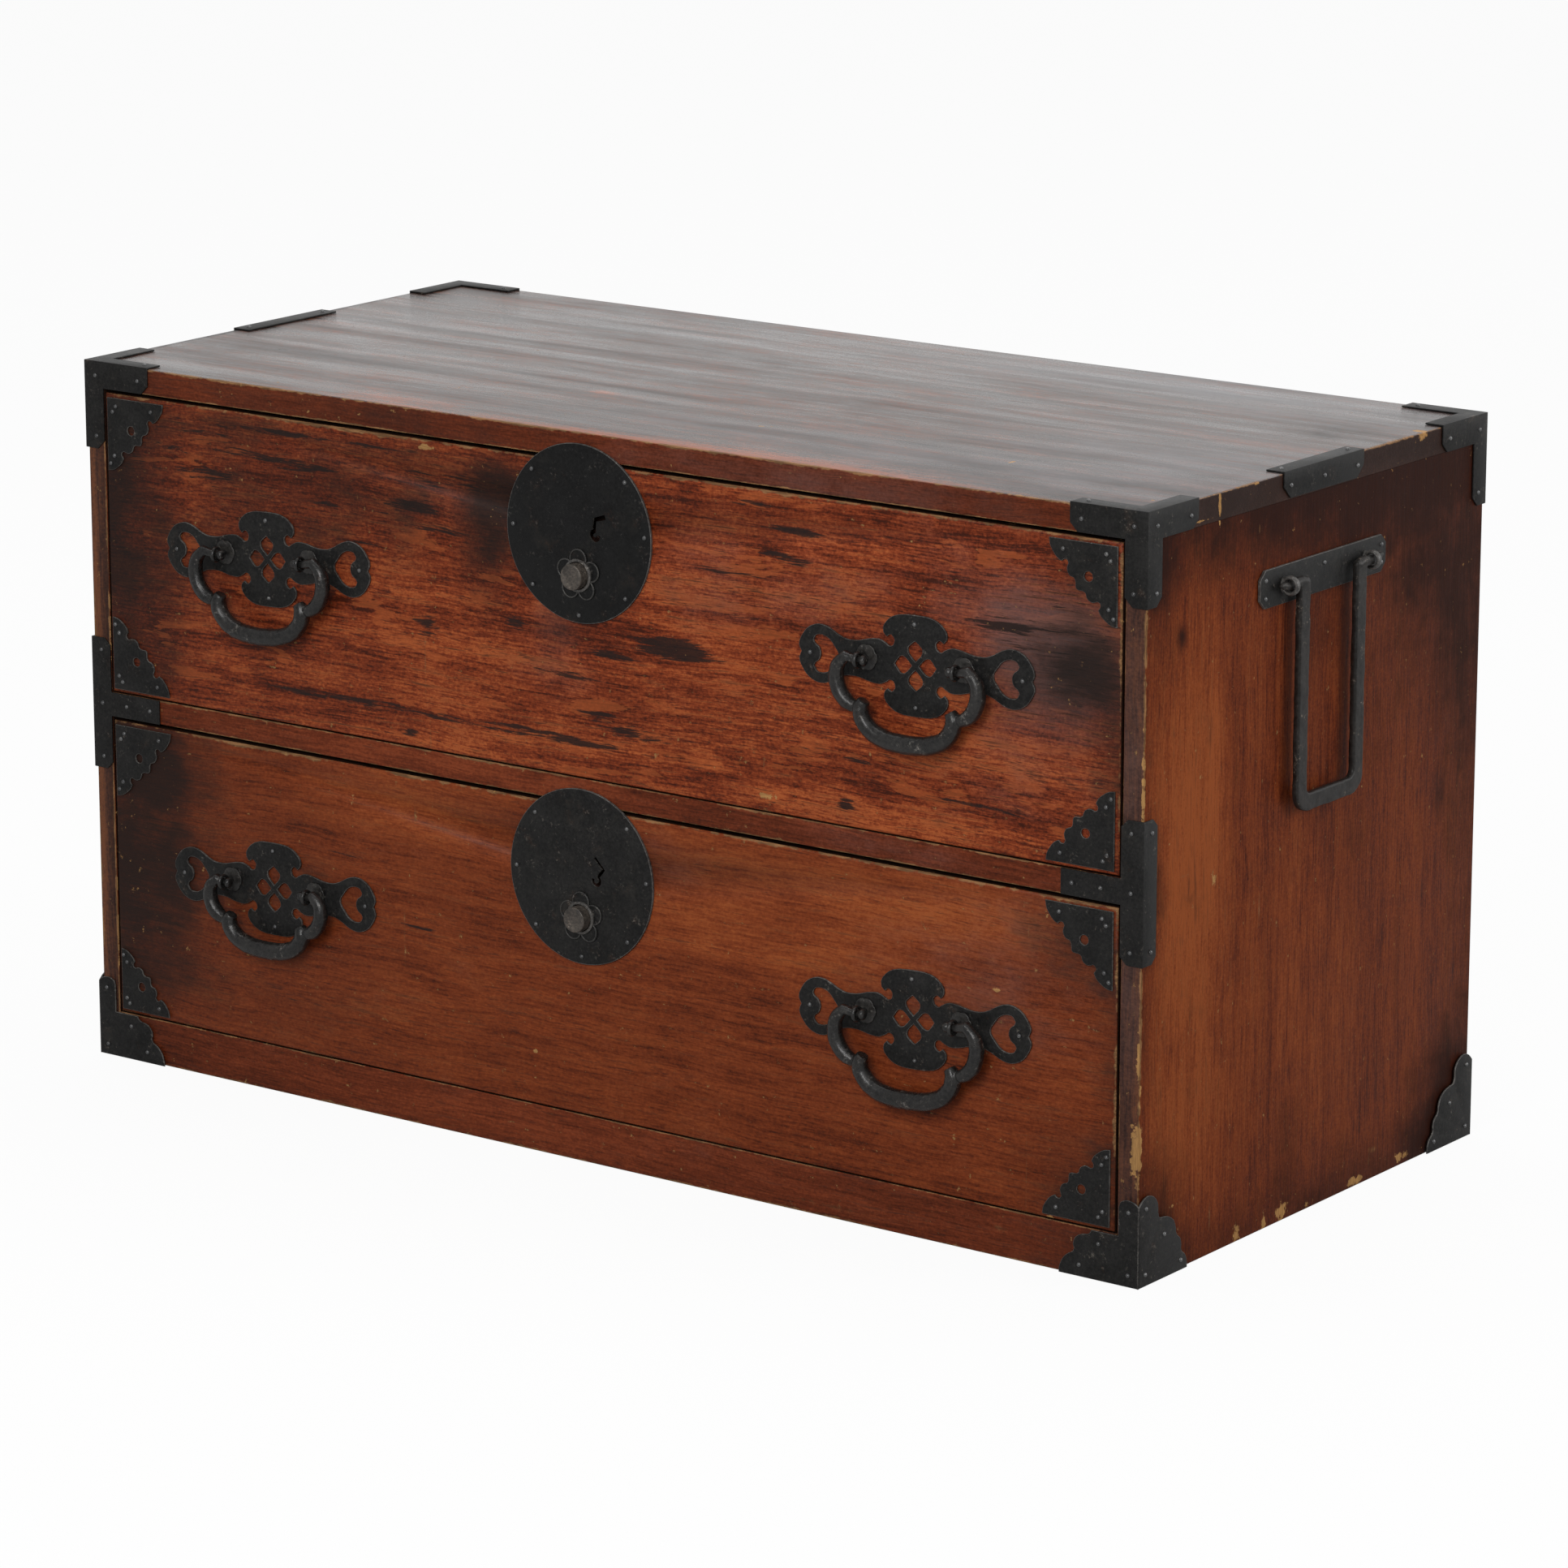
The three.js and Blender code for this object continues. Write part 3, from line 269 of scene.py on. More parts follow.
def lacquer(
    name, tones, face, upright=False, seed=0.0, contrast=1.0, dashed=0.4, grooved=0.4, black=0.9,
    lit_and_pale_spots=(), haze_and_sheen_spots=(), streaks=(), soot_and_shade_spots=(), scabs=0.3, wears=(), scratches=(), cracks=(), edges=(),
    rutted=0.0, gloss=0.42, polish=0.12, haze_and_sheen_tone=(112, 88, 84), soot_and_shade_tone=(30, 25, 23),
):
    """Wiped lacquer over grained wood, with dark streaks, soot, painted shade, haze, painted sheen and
    worn places.

    The tones run from dark to light. Glow spots lighten the colour, partly as paler lacquer and partly as
    painted light; haze spots lay a pale grey over it, partly lacquer haze and partly painted sheen;
    streaks darken it; soot spots darken it, partly as smoke and partly as painted shade; and wears,
    scratches and cracks mark it: each is a list for patches().
    Edges are lines where the lacquer is worn off, each the planes that meet and a reach.
    """
    material, tree = fresh(name)
    place = add(tree, "TexCoord").outputs["Object"]
    parts = add(tree, "SeparateXYZ", Vector=place)
    parts = {axis: parts.outputs[axis] for axis in "XYZ"}
    grain = place
    if upright:
        turn = add(tree, "Mapping", Vector=place)
        turn.inputs["Rotation"].default_value = (0, math.radians(90), 0)
        grain = turn.outputs[0]
    bend = add(tree, "TexNoise", Vector=grain, Scale=5.0, Detail=3.0).outputs["Color"]
    bent = add(tree, "VectorMath", {"operation": "MULTIPLY_ADD"}, _0=bend, _2=grain)
    bent.inputs[1].default_value = (0, grain_wave, grain_wave)
    moved = add(tree, "VectorMath", {"operation": "ADD"}, _0=bent.outputs[0])
    moved.inputs[1].default_value = (seed, seed, seed)
    grain = moved.outputs[0]

    specks = cloud(tree, place, 2.6, 1.9, 3, 0.7)
    fibres = cloud(tree, grain, 22, 1.5, 4, 0.7)
    lines = cloud(tree, grain, 90, 2.6, 5, 0.7)
    bands = cloud(tree, grain, 340, 14, 5, 0.62)
    mottle = cloud(tree, place, 60, 36, 6, 0.66)
    tone = added(
        tree, (bands, 0.5), (lines, 0.75), (fibres, 0.65), (mottle, 0.45), (specks, 0.5), (0.5, -2.85)
    )
    tone = sums(tree, "MULTIPLY_ADD", tone, 2.7 * contrast, 0.5)
    # Glow spots lift the tone: partly paler lacquer, partly painted light where a face should look
    # brighter.
    tone = sums(tree, "ADD", tone, patches(tree, place, face, lit_and_pale_spots))
    colour = ramp(tree, tone, tones)

    scab = cloud(tree, grain, 74, 13, 5, 0.62, 0.3)
    scab = added(tree, (scab, 1), (patches(tree, place, face, lit_and_pale_spots), 0.12))
    scab = spread(tree, scab, 0.595, 0.62, 0, scabs)
    colour = mixed(tree, scab, colour, tint(*tones[-1]))
    # Haze spots lay a pale grey over the lacquer: partly lacquer haze, partly a painted sheen that stands
    # for reflected light.
    haze_and_sheen_mask = added(tree, (mottle, 0.9), (specks, 0.25), (patches(tree, place, face, haze_and_sheen_spots), 1))
    haze_and_sheen_mask = spread(tree, haze_and_sheen_mask, 0.62, 1.4, 0, 0.75)
    colour = mixed(tree, haze_and_sheen_mask, colour, tint(*haze_and_sheen_tone))

    grooves = spread(tree, added(tree, (lines, 0.65), (fibres, 0.35)), 0.54, 0.64, 0, grooved)
    colour = mixed(tree, grooves, colour, tint(*ink))
    dashes = added(tree, (cloud(tree, grain, 18, 1.2, 3, 0.75), 0.7), (bands, 0.3))
    dashes = spread(tree, dashes, 0.55, 0.64, 0, dashed)
    colour = mixed(tree, dashes, colour, tint(*ink))
    strokes = cloud(tree, grain, 96, 5.5, 6, 0.76, 0.3)
    strokes = added(tree, (strokes, 0.75), (fibres, 0.3), (patches(tree, place, face, streaks), 1))
    strokes = spread(tree, strokes, black - 0.25, black - 0.19, 0, 0.92)
    colour = mixed(tree, strokes, colour, tint(*ink))

    # Soot spots darken the lacquer: partly smoke and grime, partly painted shade such as dim ends, shadow
    # halos round the irons and the black keyhole recess.
    grime_and_shade_mask = added(tree, (mottle, 1.3), (bands, 0.5), (lines, 0.7), (patches(tree, place, face, soot_and_shade_spots), 1))
    grime_and_shade_mask = spread(tree, grime_and_shade_mask, 1.27, 2.15, 0, 0.93)
    colour = mixed(tree, grime_and_shade_mask, colour, tint(*soot_and_shade_tone))

    chips = cloud(tree, place, 6, 6, 5, 0.65)
    patchy = cloud(tree, place, 48, 48, 4, 0.65)
    ragged = added(tree, (chips, 2.4), (fibres, 1.0), (0.5, -3.4))
    fitful = added(tree, (ragged, 1), (patchy, 4.0), (0.5, -3.6))
    worn = 0.0
    for planes, reach in edges:
        worn = sums(tree, "MAXIMUM", worn, along_edge(tree, parts, planes, reach, fitful))
    rubbed = sums(tree, "SUBTRACT", patches(tree, place, face, wears), ragged)
    bare = spread(tree, rubbed, 0.4, 0.6)
    worn = sums(tree, "MAXIMUM", worn, bare)
    cuts = sums(tree, "MULTIPLY_ADD", ragged, -0.7, patches(tree, place, face, scratches))
    worn = sums(tree, "MAXIMUM", worn, spread(tree, cuts, 0.25, 1.0, 0, 0.6))
    worn = sums(tree, "MAXIMUM", worn, spread(tree, specks, 0.7, 0.8, 0, 0.45))
    worn_dark = [worn_shade * value for value in worn_wood]
    pale = mixed(tree, spread(tree, fibres, 0.4, 0.62), tint(*worn_dark), tint(*worn_wood))
    pale = mixed(tree, sums(tree, "MULTIPLY", bare, fibres), pale, tint(*bare_chip))
    colour = mixed(tree, sums(tree, "MULTIPLY", worn, 0.9), colour, pale)

    height = added(tree, (fibres, 0.6), (lines, 0.8), (bands, 0.5), (specks, 0.25), (worn, -0.6))
    if cracks:
        split = spread(tree, added(tree, (patches(tree, place, face, cracks), 1), (chips, 0.5)), 0.6, 0.8)
        colour = mixed(tree, split, colour, tint(*ink))
        height = sums(tree, "MULTIPLY_ADD", split, -1.5, height)
    rough = added(tree, (mottle, 0.22), (lines, 0.16), (worn, 0.25), (grime_and_shade_mask, 0.1), (1.0, gloss - 0.19))
    if rutted:
        broad = cloud(tree, grain, 300, 22, 5, 0.6)
        rough = added(tree, (rough, 1), (broad, rutted), (specks, 0.3 * rutted), (0.5, -1.3 * rutted))
    bump = add(tree, "Bump", Height=height, Strength=0.4, Distance=lacquer_relief).outputs[0]
    skin = add(tree, "BsdfPrincipled", Base_Color=colour, Roughness=rough, Normal=bump)
    skin.inputs["Specular IOR Level"].default_value = polish
    add(tree, "OutputMaterial", Surface=skin.outputs[0])
    return material


def select(*objects):
    """These objects selected, the first of them active, and nothing else."""
    bpy.ops.object.select_all(action="DESELECT")
    for piece in objects:
        piece.select_set(True)
    bpy.context.view_layer.objects.active = objects[0]


def pick_edges(piece, wanted):
    """Edit mode with just the wanted edges selected."""
    select(piece)
    bpy.ops.object.mode_set(mode="EDIT")
    bpy.ops.mesh.select_mode(type="EDGE")
    bpy.ops.mesh.select_all(action="DESELECT")
    form = bmesh.from_edit_mesh(piece.data)
    for edge in form.edges:
        edge.select_set(wanted(edge))
    bmesh.update_edit_mesh(piece.data)


def node_copy(node, name):
    """A copy of a node's mesh, with its loose triangles merged into whole faces."""
    copy = bpy.data.objects.new(name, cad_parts[node].data.copy())
    bpy.context.scene.collection.objects.link(copy)
    select(copy)
    bpy.ops.object.mode_set(mode="EDIT")
    bpy.ops.mesh.select_all(action="SELECT")
    bpy.ops.mesh.remove_doubles(threshold=same_corner)
    bpy.ops.mesh.dissolve_limited(angle_limit=same_plane)
    bpy.ops.object.mode_set(mode="OBJECT")
    copy.data.materials.clear()
    return copy


def finish(piece, node, body, slot, *materials):
    """The piece as it stands for its node, on its body, with its materials."""
    for material in materials:
        piece.data.materials.append(material)
    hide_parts(node)
    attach(piece, body)


def eased_board(node, radius, body, slot, material, wanted=None, facings=()):
    """A board sawn as its node is, with its long edges rounded over.

    Each facing is a direction, and the material of the faces that look that way.
    """
    board = node_copy(node, node + "_board")
    wanted = wanted or (lambda edge: edge.calc_length() > long_edge)
    pick_edges(board, lambda edge: edge.calc_face_angle(0) > sharp_edge and wanted(edge))
    bpy.ops.mesh.bevel(offset=radius, segments=ease_steps, affect="EDGES", clamp_overlap=True)
    bpy.ops.object.mode_set(mode="OBJECT")
    bpy.ops.object.shade_smooth_by_angle(angle=smooth_bend)
    finish(board, node, body, slot, material)
    for way, other in facings:
        board.data.materials.append(other)
        for face in board.data.polygons:
            if face.normal.dot(Vector(way)) > same_way:
                face.material_index = len(board.data.materials) - 1
    return board


side_tones = [(52, 19, 10), (92, 39, 19), (124, 58, 27), (150, 78, 39)]
rail_tones = [(58, 22, 12), (88, 38, 19), (112, 50, 27), (142, 68, 38)]
top_tones = [(32, 25, 24), (54, 42, 39), (78, 54, 45), (150, 80, 48)]
stile_tones = [(44, 28, 24), (66, 44, 38), (92, 58, 44), (120, 74, 50)]
gap_shade_tones = [(20, 13, 10), (32, 20, 15), (44, 28, 20), (58, 37, 26)]
side_edges = [([("Y", front_y), ("X", x)], 1.7) for x in (-side_x, side_x)]
rail_edges = [(33.5, 0.8), (254, 0.9), (271.5, 1.2), (0, 1.4), (492, 0.8), (top_z, 1.5)]
side_lacquer = lacquer(
    "side_lacquer", side_tones, "side", upright=True, contrast=0.6, black=1.0, dashed=0.3, grooved=0.4,
    scabs=0.08, edges=side_edges, gloss=0.44, polish=0.06, soot_and_shade_tone=(34, 15, 10), haze_and_sheen_tone=(100, 66, 56),
    lit_and_pale_spots=[(-150, 200, 80, 200, 0.2), (-150, 300, 60, 160, 0.5), (-150, 90, 70, 120, 0.35),
           (-60, 470, 60, 12, 0.1), (-20, 150, 110, 120, 0.2), (-125, 330, 9, 130, 0.3),
           (-172, 250, 8, 110, 0.2)],
    # Among these, the dark halos round the top, middle and foot irons are painted shadows; the rest are
    # partly smoke, partly painted shade.
    soot_and_shade_spots=[(150, 430, 140, 190, 0.8), (-208, 480, 50, 60, 0.9), (-200, 262, 32, 62, 0.7),
           (0, 430, 100, 60, 0.35), (-20, 511, 270, 88, 1.25), (40, 0, 300, 45, 0.7),
           (208, 30, 110, 110, 0.55), (-190, 25, 75, 80, 0.85), (170, 30, 60, 70, 0.5),
           (-207, 200, 14, 260, 0.3), (-165, 423, 9, 14, 0.75), (158, 255, 12, 26, 0.5),
           (195, 250, 60, 300, 0.5), (60, 250, 50, 200, 0.25), (-100, 330, 9, 130, 0.3),
           (-30, 60, 30, 60, 0.5), (-150, 120, 8, 90, 0.25), (-60, 170, 7, 120, 0.25),
           (20, 220, 9, 130, 0.25), (110, 160, 9, 110, 0.3), (-185, 430, 30, 60, 0.3),
           (0, 400, 50, 60, 0.35)],
    wears=[(-207, 92, 5, 34, 1.1), (-207, 132, 2.5, 12, 0.9), (-207, 320, 2.0, 60, 0.75),
           (-124, 256, 8, 12, 0.62), (-124, 494, 2.2, 12, 1.3), (-55, 4, 5, 14, 1.2),
           (-34, 6, 12, 9, 1.1), (-90, 3, 8, 12, 0.9), (60, 4, 16, 6, 1.0), (-2, 3, 5, 4, 1.1),
           (120, 6, 14, 5, 1.0), (196, 12, 9, 10, 0.8), (-165, 45, 8, 2, 0.7)],
    scratches=[(-68, 222, 1.4, 30, 0.9), (-76, 250, 5, 3, 0.7), (-160, 265, 12, 1.5, 0.7),
               (-122, 24, 1.4, 16, 0.9), (84, 20, 10, 4, 0.9), (78, 12, 3, 14, 0.7),
               (-76, 478, 1.2, 7, 0.9), (119, 114, 1.4, 4, 0.9), (-158, 430, 1.0, 3, 0.9)],
)
stile_lacquer = lacquer(
    "stile_lacquer", stile_tones, "front", upright=True, contrast=0.7, black=1.0, seed=0.6, scabs=0.1,
    edges=side_edges + [([("Y", front_y), ("X", x)], 0.8) for x in stile_inner],
    haze_and_sheen_spots=[(441, 300, 30, 260, 0.3)], lit_and_pale_spots=[(-446, 250, 5, 300, 0.7), (447, 110, 8, 60, 0.3)],
    soot_and_shade_spots=[(-435, 250, 7, 300, 0.6), (441, 30, 20, 40, 0.4)],
    wears=[(446, 92, 6, 26, 1.2), (448, 150, 3, 30, 0.9), (448, 330, 1.6, 60, 0.9)],
)
rail_lacquer = lacquer(
    "rail_lacquer", rail_tones, "front", contrast=0.7, seed=0.4, black=0.97, grooved=0.5, scabs=0.15,
    # The spots at the ends are partly smoke, partly painted shade where the front grows dim towards its
    # ends.
    soot_and_shade_spots=[(-449, 120, 90, 400, 0.7), (449, 240, 75, 60, 0.7), (449, 20, 110, 60, 0.6),
           (-430, 500, 60, 40, 0.6), (330, 500, 160, 40, 0.3), (-200, 500, 260, 40, 0.42)],
    lit_and_pale_spots=[(-250, 505, 160, 30, 0.12), (-130, 262, 220, 22, 0.5), (250, 262, 160, 18, 0.2),
           (-60, 17, 360, 24, 0.3)],
    haze_and_sheen_spots=[(200, 500, 300, 26, 0.35), (250, 262, 200, 16, 0.25)],
    scratches=[(-130, 4, 40, 3, 0.4), (200, 8, 60, 4, 0.5), (340, 20, 8, 6, 0.8)],
    edges=[([("Y", front_y), ("Z", height)], reach) for height, reach in rail_edges],
)
end_lacquer = lacquer(
    "end_lacquer", stile_tones, "side", contrast=0.6, seed=1.2, black=0.96, scabs=0.0,
    soot_and_shade_tone=(34, 19, 14),
    soot_and_shade_spots=[(-120, 503, 130, 40, 0.8), (90, 503, 260, 40, 0.95)],
    lit_and_pale_spots=[(-60, 503, 40, 20, 0.3)],
    haze_and_sheen_spots=[(-160, 503, 40, 14, 0.3)],
    wears=[(-124, 503, 2.4, 14, 1.4), (126, 508, 8, 5, 1.3), (-150, 495, 24, 1.0, 1.0),
           (-80, 509, 6, 2, 1.0)],
    edges=[([("X", x), ("Z", top_z)], 1.2) for x in (side_x, -side_x)],
)
top_lacquer = lacquer(
    "top_lacquer", top_tones, "top", contrast=0.7, gloss=0.3, polish=0.5, seed=0.8, black=1.0,
    grooved=0.45, dashed=0.35, scabs=0.1, rutted=0.65, haze_and_sheen_tone=(130, 130, 134),
    # The grey haze on the top is mostly a painted reflection of the pale studio, laid over dark lacquer.
    haze_and_sheen_spots=[(380, -80, 300, 240, 0.45), (60, -150, 300, 70, 0.25), (260, 170, 400, 80, 0.55)],
    lit_and_pale_spots=[(20, -212, 420, 24, 0.6), (170, -200, 200, 34, 0.3), (-190, -190, 90, 30, 0.25),
           (-80, -84, 14, 8, 0.5), (100, -60, 160, 60, 0.12)],
    soot_and_shade_spots=[(120, -40, 130, 60, 0.4), (400, 90, 60, 60, 0.6), (-449, 0, 9, 260, 1.3),
           (-400, -120, 70, 90, 0.3), (-40, 70, 110, 30, 0.3)],
    cracks=[(-300, -92, 130, 1.6, 0.55), (-368, -91, 8, 3.5, 1.0), (-24, -92, 14, 3, 0.8),
            (172, 55, 20, 3.5, 0.9), (310, 49, 150, 1.3, 0.5), (226, 76, 10, 4, 0.8),
            (-160, 38, 26, 3, 0.55), (-20, 12, 16, 2, 0.8)],
    wears=[(81, -119, 3, 2, 1.6), (286, -121, 2, 6, 1.3), (445, 129, 9, 6, 1.3),
           (428, -170, 2, 2, 1.2)],
    edges=[([("Y", front_y), ("Z", top_z)], 1.4), ([("X", side_x), ("Z", top_z)], 1.2)],
)
# Painted shade: a near-black lacquer for the faces that stand inside the gaps between boards and drawers.
gap_shade_lacquer = lacquer(
    "gap_shade_lacquer", gap_shade_tones, "front", contrast=0.6, seed=2.1, scabs=0, dashed=0.2, grooved=0.2,
    gloss=0.6, polish=0.05,
)
outward = (0, -1, 0)
backward = (0, 1, 0)
# Faces that look up or down into the gaps get the painted-shade lacquer.
above_and_below = [((0, 0, 1), gap_shade_lacquer), ((0, 0, -1), gap_shade_lacquer)]


def clear_of_seam(edge):
    """Whether it is a long edge that doesn't lie in the tight seam under the top board."""
    in_seam = all(abs(corner.co.z / MM - seam_height) < seam_reach for corner in edge.verts)
    across = all(abs(corner.co.x / MM) > side_x - 1 for corner in edge.verts)
    return edge.calc_length() > long_edge and not (in_seam and across)


for node, inward in (("left_side", 1), ("right_side", -1)):
    eased_board(
        node, case_ease, "case", "case_lacquer", side_lacquer, clear_of_seam,
        [(outward, stile_lacquer), ((inward, 0, 0), gap_shade_lacquer)],
    )
for node in ("base_rail", "middle_rail"):
    eased_board(
        node, case_ease, "case", "case_lacquer", rail_lacquer,
        facings=above_and_below + [(backward, gap_shade_lacquer)],
    )
eased_board(
    "top_board", top_ease, "case", "case_lacquer", top_lacquer, clear_of_seam,
    [(outward, rail_lacquer), ((1, 0, 0), end_lacquer), ((-1, 0, 0), end_lacquer),
     (backward, end_lacquer), ((0, 0, -1), gap_shade_lacquer)],
)

# Inside boards
# Thin unlacquered softwood: the back, the floors and the runners of the case, and the
# sides, backs and floors of the drawers. Age has browned them.
wood_tones = [(84, 60, 42), (112, 84, 58), (136, 106, 76), (154, 124, 92)]
wood_stain = (66, 48, 36)
wood_relief = 0.4 * MM
plank_shift = 0.73
ring_count = 13


def bare_wood(name, across=False, seed=0.0, plank=None):
    """Planed softwood that has gone brown, with its grain along X, or along Y if across.

    With a plank, an axis and a width, it is made up of boards of that width, edge to edge.
    """
    material, tree = fresh(name)
    place = add(tree, "TexCoord").outputs["Object"]
    turn = add(tree, "Mapping", Vector=place)
    turn.inputs["Rotation"].default_value = (0, 0, math.radians(90) if across else 0)
    turn.inputs["Location"].default_value = (seed, seed, seed)
    grain = turn.outputs[0]
    joint, own = 0.0, 0.5
    if plank:
        axis, width = plank
        part = add(tree, "SeparateXYZ", Vector=place).outputs[axis]
        part = sums(tree, "DIVIDE", part, width * MM)
        board = sums(tree, "FLOOR", part)
        joint = spread(tree, sums(tree, "PINGPONG", part, 0.5), 0.009, 0.003)
        own = add(tree, "TexWhiteNoise", {"noise_dimensions": "1D"}, W=board).outputs["Value"]
        shift = add(tree, "CombineXYZ", X=sums(tree, "MULTIPLY", board, plank_shift), Y=own, Z=own)
        grain = add(tree, "VectorMath", {"operation": "ADD"}, _0=grain, _1=shift.outputs[0]).outputs[0]
    fibres = cloud(tree, grain, 46, 1.0, 4, 0.7)
    rings = cloud(tree, grain, 520, 46, 2, 0.4)
    rings = sums(tree, "PINGPONG", sums(tree, "MULTIPLY", rings, ring_count), 1.0)
    mottle = cloud(tree, place, 120, 80, 5, 0.6)
    tone = added(tree, (rings, 0.3), (fibres, 0.7), (mottle, 0.6), (own, 0.3), (0.5, -1.05))
    colour = ramp(tree, tone, wood_tones)
    stain = spread(tree, mottle, 0.5, 0.72, 0, 0.55)
    colour = mixed(tree, stain, colour, tint(*wood_stain))
    colour = mixed(tree, joint, colour, tint(*ink))
    height = added(tree, (fibres, 0.6), (rings, 0.2), (joint, -2.0))
    bump = add(tree, "Bump", Height=height, Strength=0.35, Distance=wood_relief).outputs[0]
    rough = added(tree, (fibres, 0.2), (1.0, 0.6))
    skin = add(tree, "BsdfPrincipled", Base_Color=colour, Roughness=rough, Normal=bump)
    skin.inputs["Specular IOR Level"].default_value = 0.25
    add(tree, "OutputMaterial", Surface=skin.outputs[0])
    return material


wood_along = bare_wood("softwood_along")
wood_across = bare_wood("softwood_across", across=True, seed=0.7)
wood_back = bare_wood("softwood_back", seed=0.2, plank=("Z", 164))
wood_floor = bare_wood("softwood_floor", seed=1.3, plank=("Y", 138))
eased_board("back_panel", rough_ease, "case", "bare_wood", wood_back)
for node in ("bottom_board", "dust_board"):
    eased_board(node, rough_ease, "case", "bare_wood", wood_floor)
for node in ("left_runner", "right_runner"):
    eased_board(node, rough_ease, "case", "bare_wood", wood_across)
for drawer in ("upper", "lower"):
    body = drawer + "_drawer"
    for part, material in (("left_side", wood_across), ("right_side", wood_across),
                           ("back", wood_along), ("bottom", wood_floor)):
        eased_board(f"{body}_{part}", rough_ease, body, "bare_wood", material)

# Drawer fronts
# Boards of figured wood, lacquered orange red over black grain. Smoke and painted shade darken their ends
# and the places round the irons, haze and painted sheen lie in spots, and their edges have gone pale with
# use.
front_ease = 2.3 * MM
front_proud = -207.7
upper_tones = [(66, 27, 15), (112, 46, 24), (146, 66, 35), (184, 96, 52)]
lower_tones = [(64, 27, 14), (106, 46, 22), (136, 64, 32), (164, 86, 44)]
drawer_sides = (-432.3, 430.9)
drawer_heights = {"upper": (272, 489.5), "lower": (34, 251.5)}


def front_edges(low, high):
    """The four worn edges of a drawer front, the top and right ones most."""
    left, right = drawer_sides
    return [
        ([("Z", high), ("Y", front_proud)], 2.0),
        ([("Z", low), ("Y", front_proud)], 0.8),
        ([("X", left), ("Y", front_proud)], 0.9),
        ([("X", right), ("Y", front_proud)], 1.7),
    ]


upper_lacquer = lacquer(
    "upper_front_lacquer", upper_tones, "front", seed=1.7, contrast=1.05, dashed=0.65, grooved=0.7,
    black=0.9, scabs=0.45, gloss=0.42,
    lit_and_pale_spots=[(-200, 395, 110, 20, 0.15), (-110, 330, 120, 50, 0.2), (130, 372, 80, 25, 0.25),
           (330, 345, 110, 26, 0.3), (290, 280, 140, 20, 0.2), (-120, 280, 160, 16, 0.35),
           (190, 450, 120, 40, 0.12), (60, 400, 60, 60, 0.12), (20, 300, 60, 16, 0.3),
           (104, 300, 26, 9, 0.5), (160, 286, 40, 9, 0.5), (230, 292, 60, 22, 0.15)],
    # Haze spots: partly lacquer haze, partly painted sheen, strongest at the right end where the lamps'
    # reflection lies.
    haze_and_sheen_spots=[(150, 420, 120, 60, 0.3), (330, 440, 110, 60, 0.45), (385, 402, 80, 60, 0.9),
           (360, 330, 90, 60, 0.25), (-20, 390, 60, 90, 0.3), (-100, 450, 80, 40, 0.2)],
    streaks=[(-284, 459, 125, 9, 0.2), (-131, 461, 80, 9, 0.22), (-319, 442, 85, 8, 0.2),
             (-200, 479, 200, 5, 0.2), (-230, 434, 120, 5, 0.2), (-120, 428, 80, 6, 0.2),
             (-190, 410, 90, 4, 0.15), (-330, 470, 70, 5, 0.18), (-110, 395, 40, 5, 0.15),
             (-60, 372, 30, 8, 0.2), (-148, 443, 52, 11, 0.26), (-138, 360, 20, 12, 0.24),
             (74, 372, 50, 12, 0.4), (20, 360, 40, 7, 0.26), (-30, 343, 60, 8, 0.18),
             (-183, 297, 270, 5, 0.18), (-155, 282, 15, 5, 0.3), (40, 308, 60, 9, 0.2),
             (10, 318, 30, 6, 0.24), (109, 430, 65, 6, 0.22), (156, 448, 20, 5, 0.24),
             (179, 442, 25, 7, 0.2), (352, 429, 95, 38, 0.1), (342, 423, 42, 8, 0.2),
             (337, 303, 112, 11, 0.2), (226, 318, 36, 6, 0.2), (216, 287, 12, 12, 0.24),
             (144, 479, 42, 5, 0.2), (174, 465, 50, 7, 0.18), (-60, 300, 60, 30, 0.1),
             (0, 296, 60, 6, 0.18), (150, 410, 30, 6, 0.18), (-400, 430, 60, 60, 0.08),
             (70, 330, 120, 8, 0.1)],
    # Soot spots: partly smoke, partly painted shade: the dim left end, halos round the irons, and in the
    # last spot the black keyhole recess.
    soot_and_shade_spots=[(-432, 390, 80, 190, 1.0), (-225, 448, 260, 72, 0.62), (-375, 320, 50, 110, 0.4),
           (-60, 470, 60, 40, 0.35), (-80, 425, 40, 80, 0.6), (386, 395, 70, 75, 0.5),
           (402, 402, 52, 42, 0.5), (431, 330, 30, 140, 0.45), (-290, 388, 110, 46, 0.45),
           (275, 395, 105, 42, 0.2), (-10, 372, 60, 16, 0.5), (400, 470, 60, 40, 0.45),
           (-330, 478, 90, 22, 0.3), (14, 448, 26, 26, 4.0)],
    wears=[(-138, 484, 9, 3, 1.0), (68, 298, 12, 2, 0.7), (152, 283, 18, 3, 0.75)],
    scratches=[(-141, 330, 1.2, 42, 0.8), (-137, 280, 1.4, 30, 0.8), (149, 304, 1.2, 8, 0.8),
               (-180, 420, 0.8, 18, 0.5), (270, 300, 0.7, 22, 0.5)],
    edges=front_edges(*drawer_heights["upper"]),
)
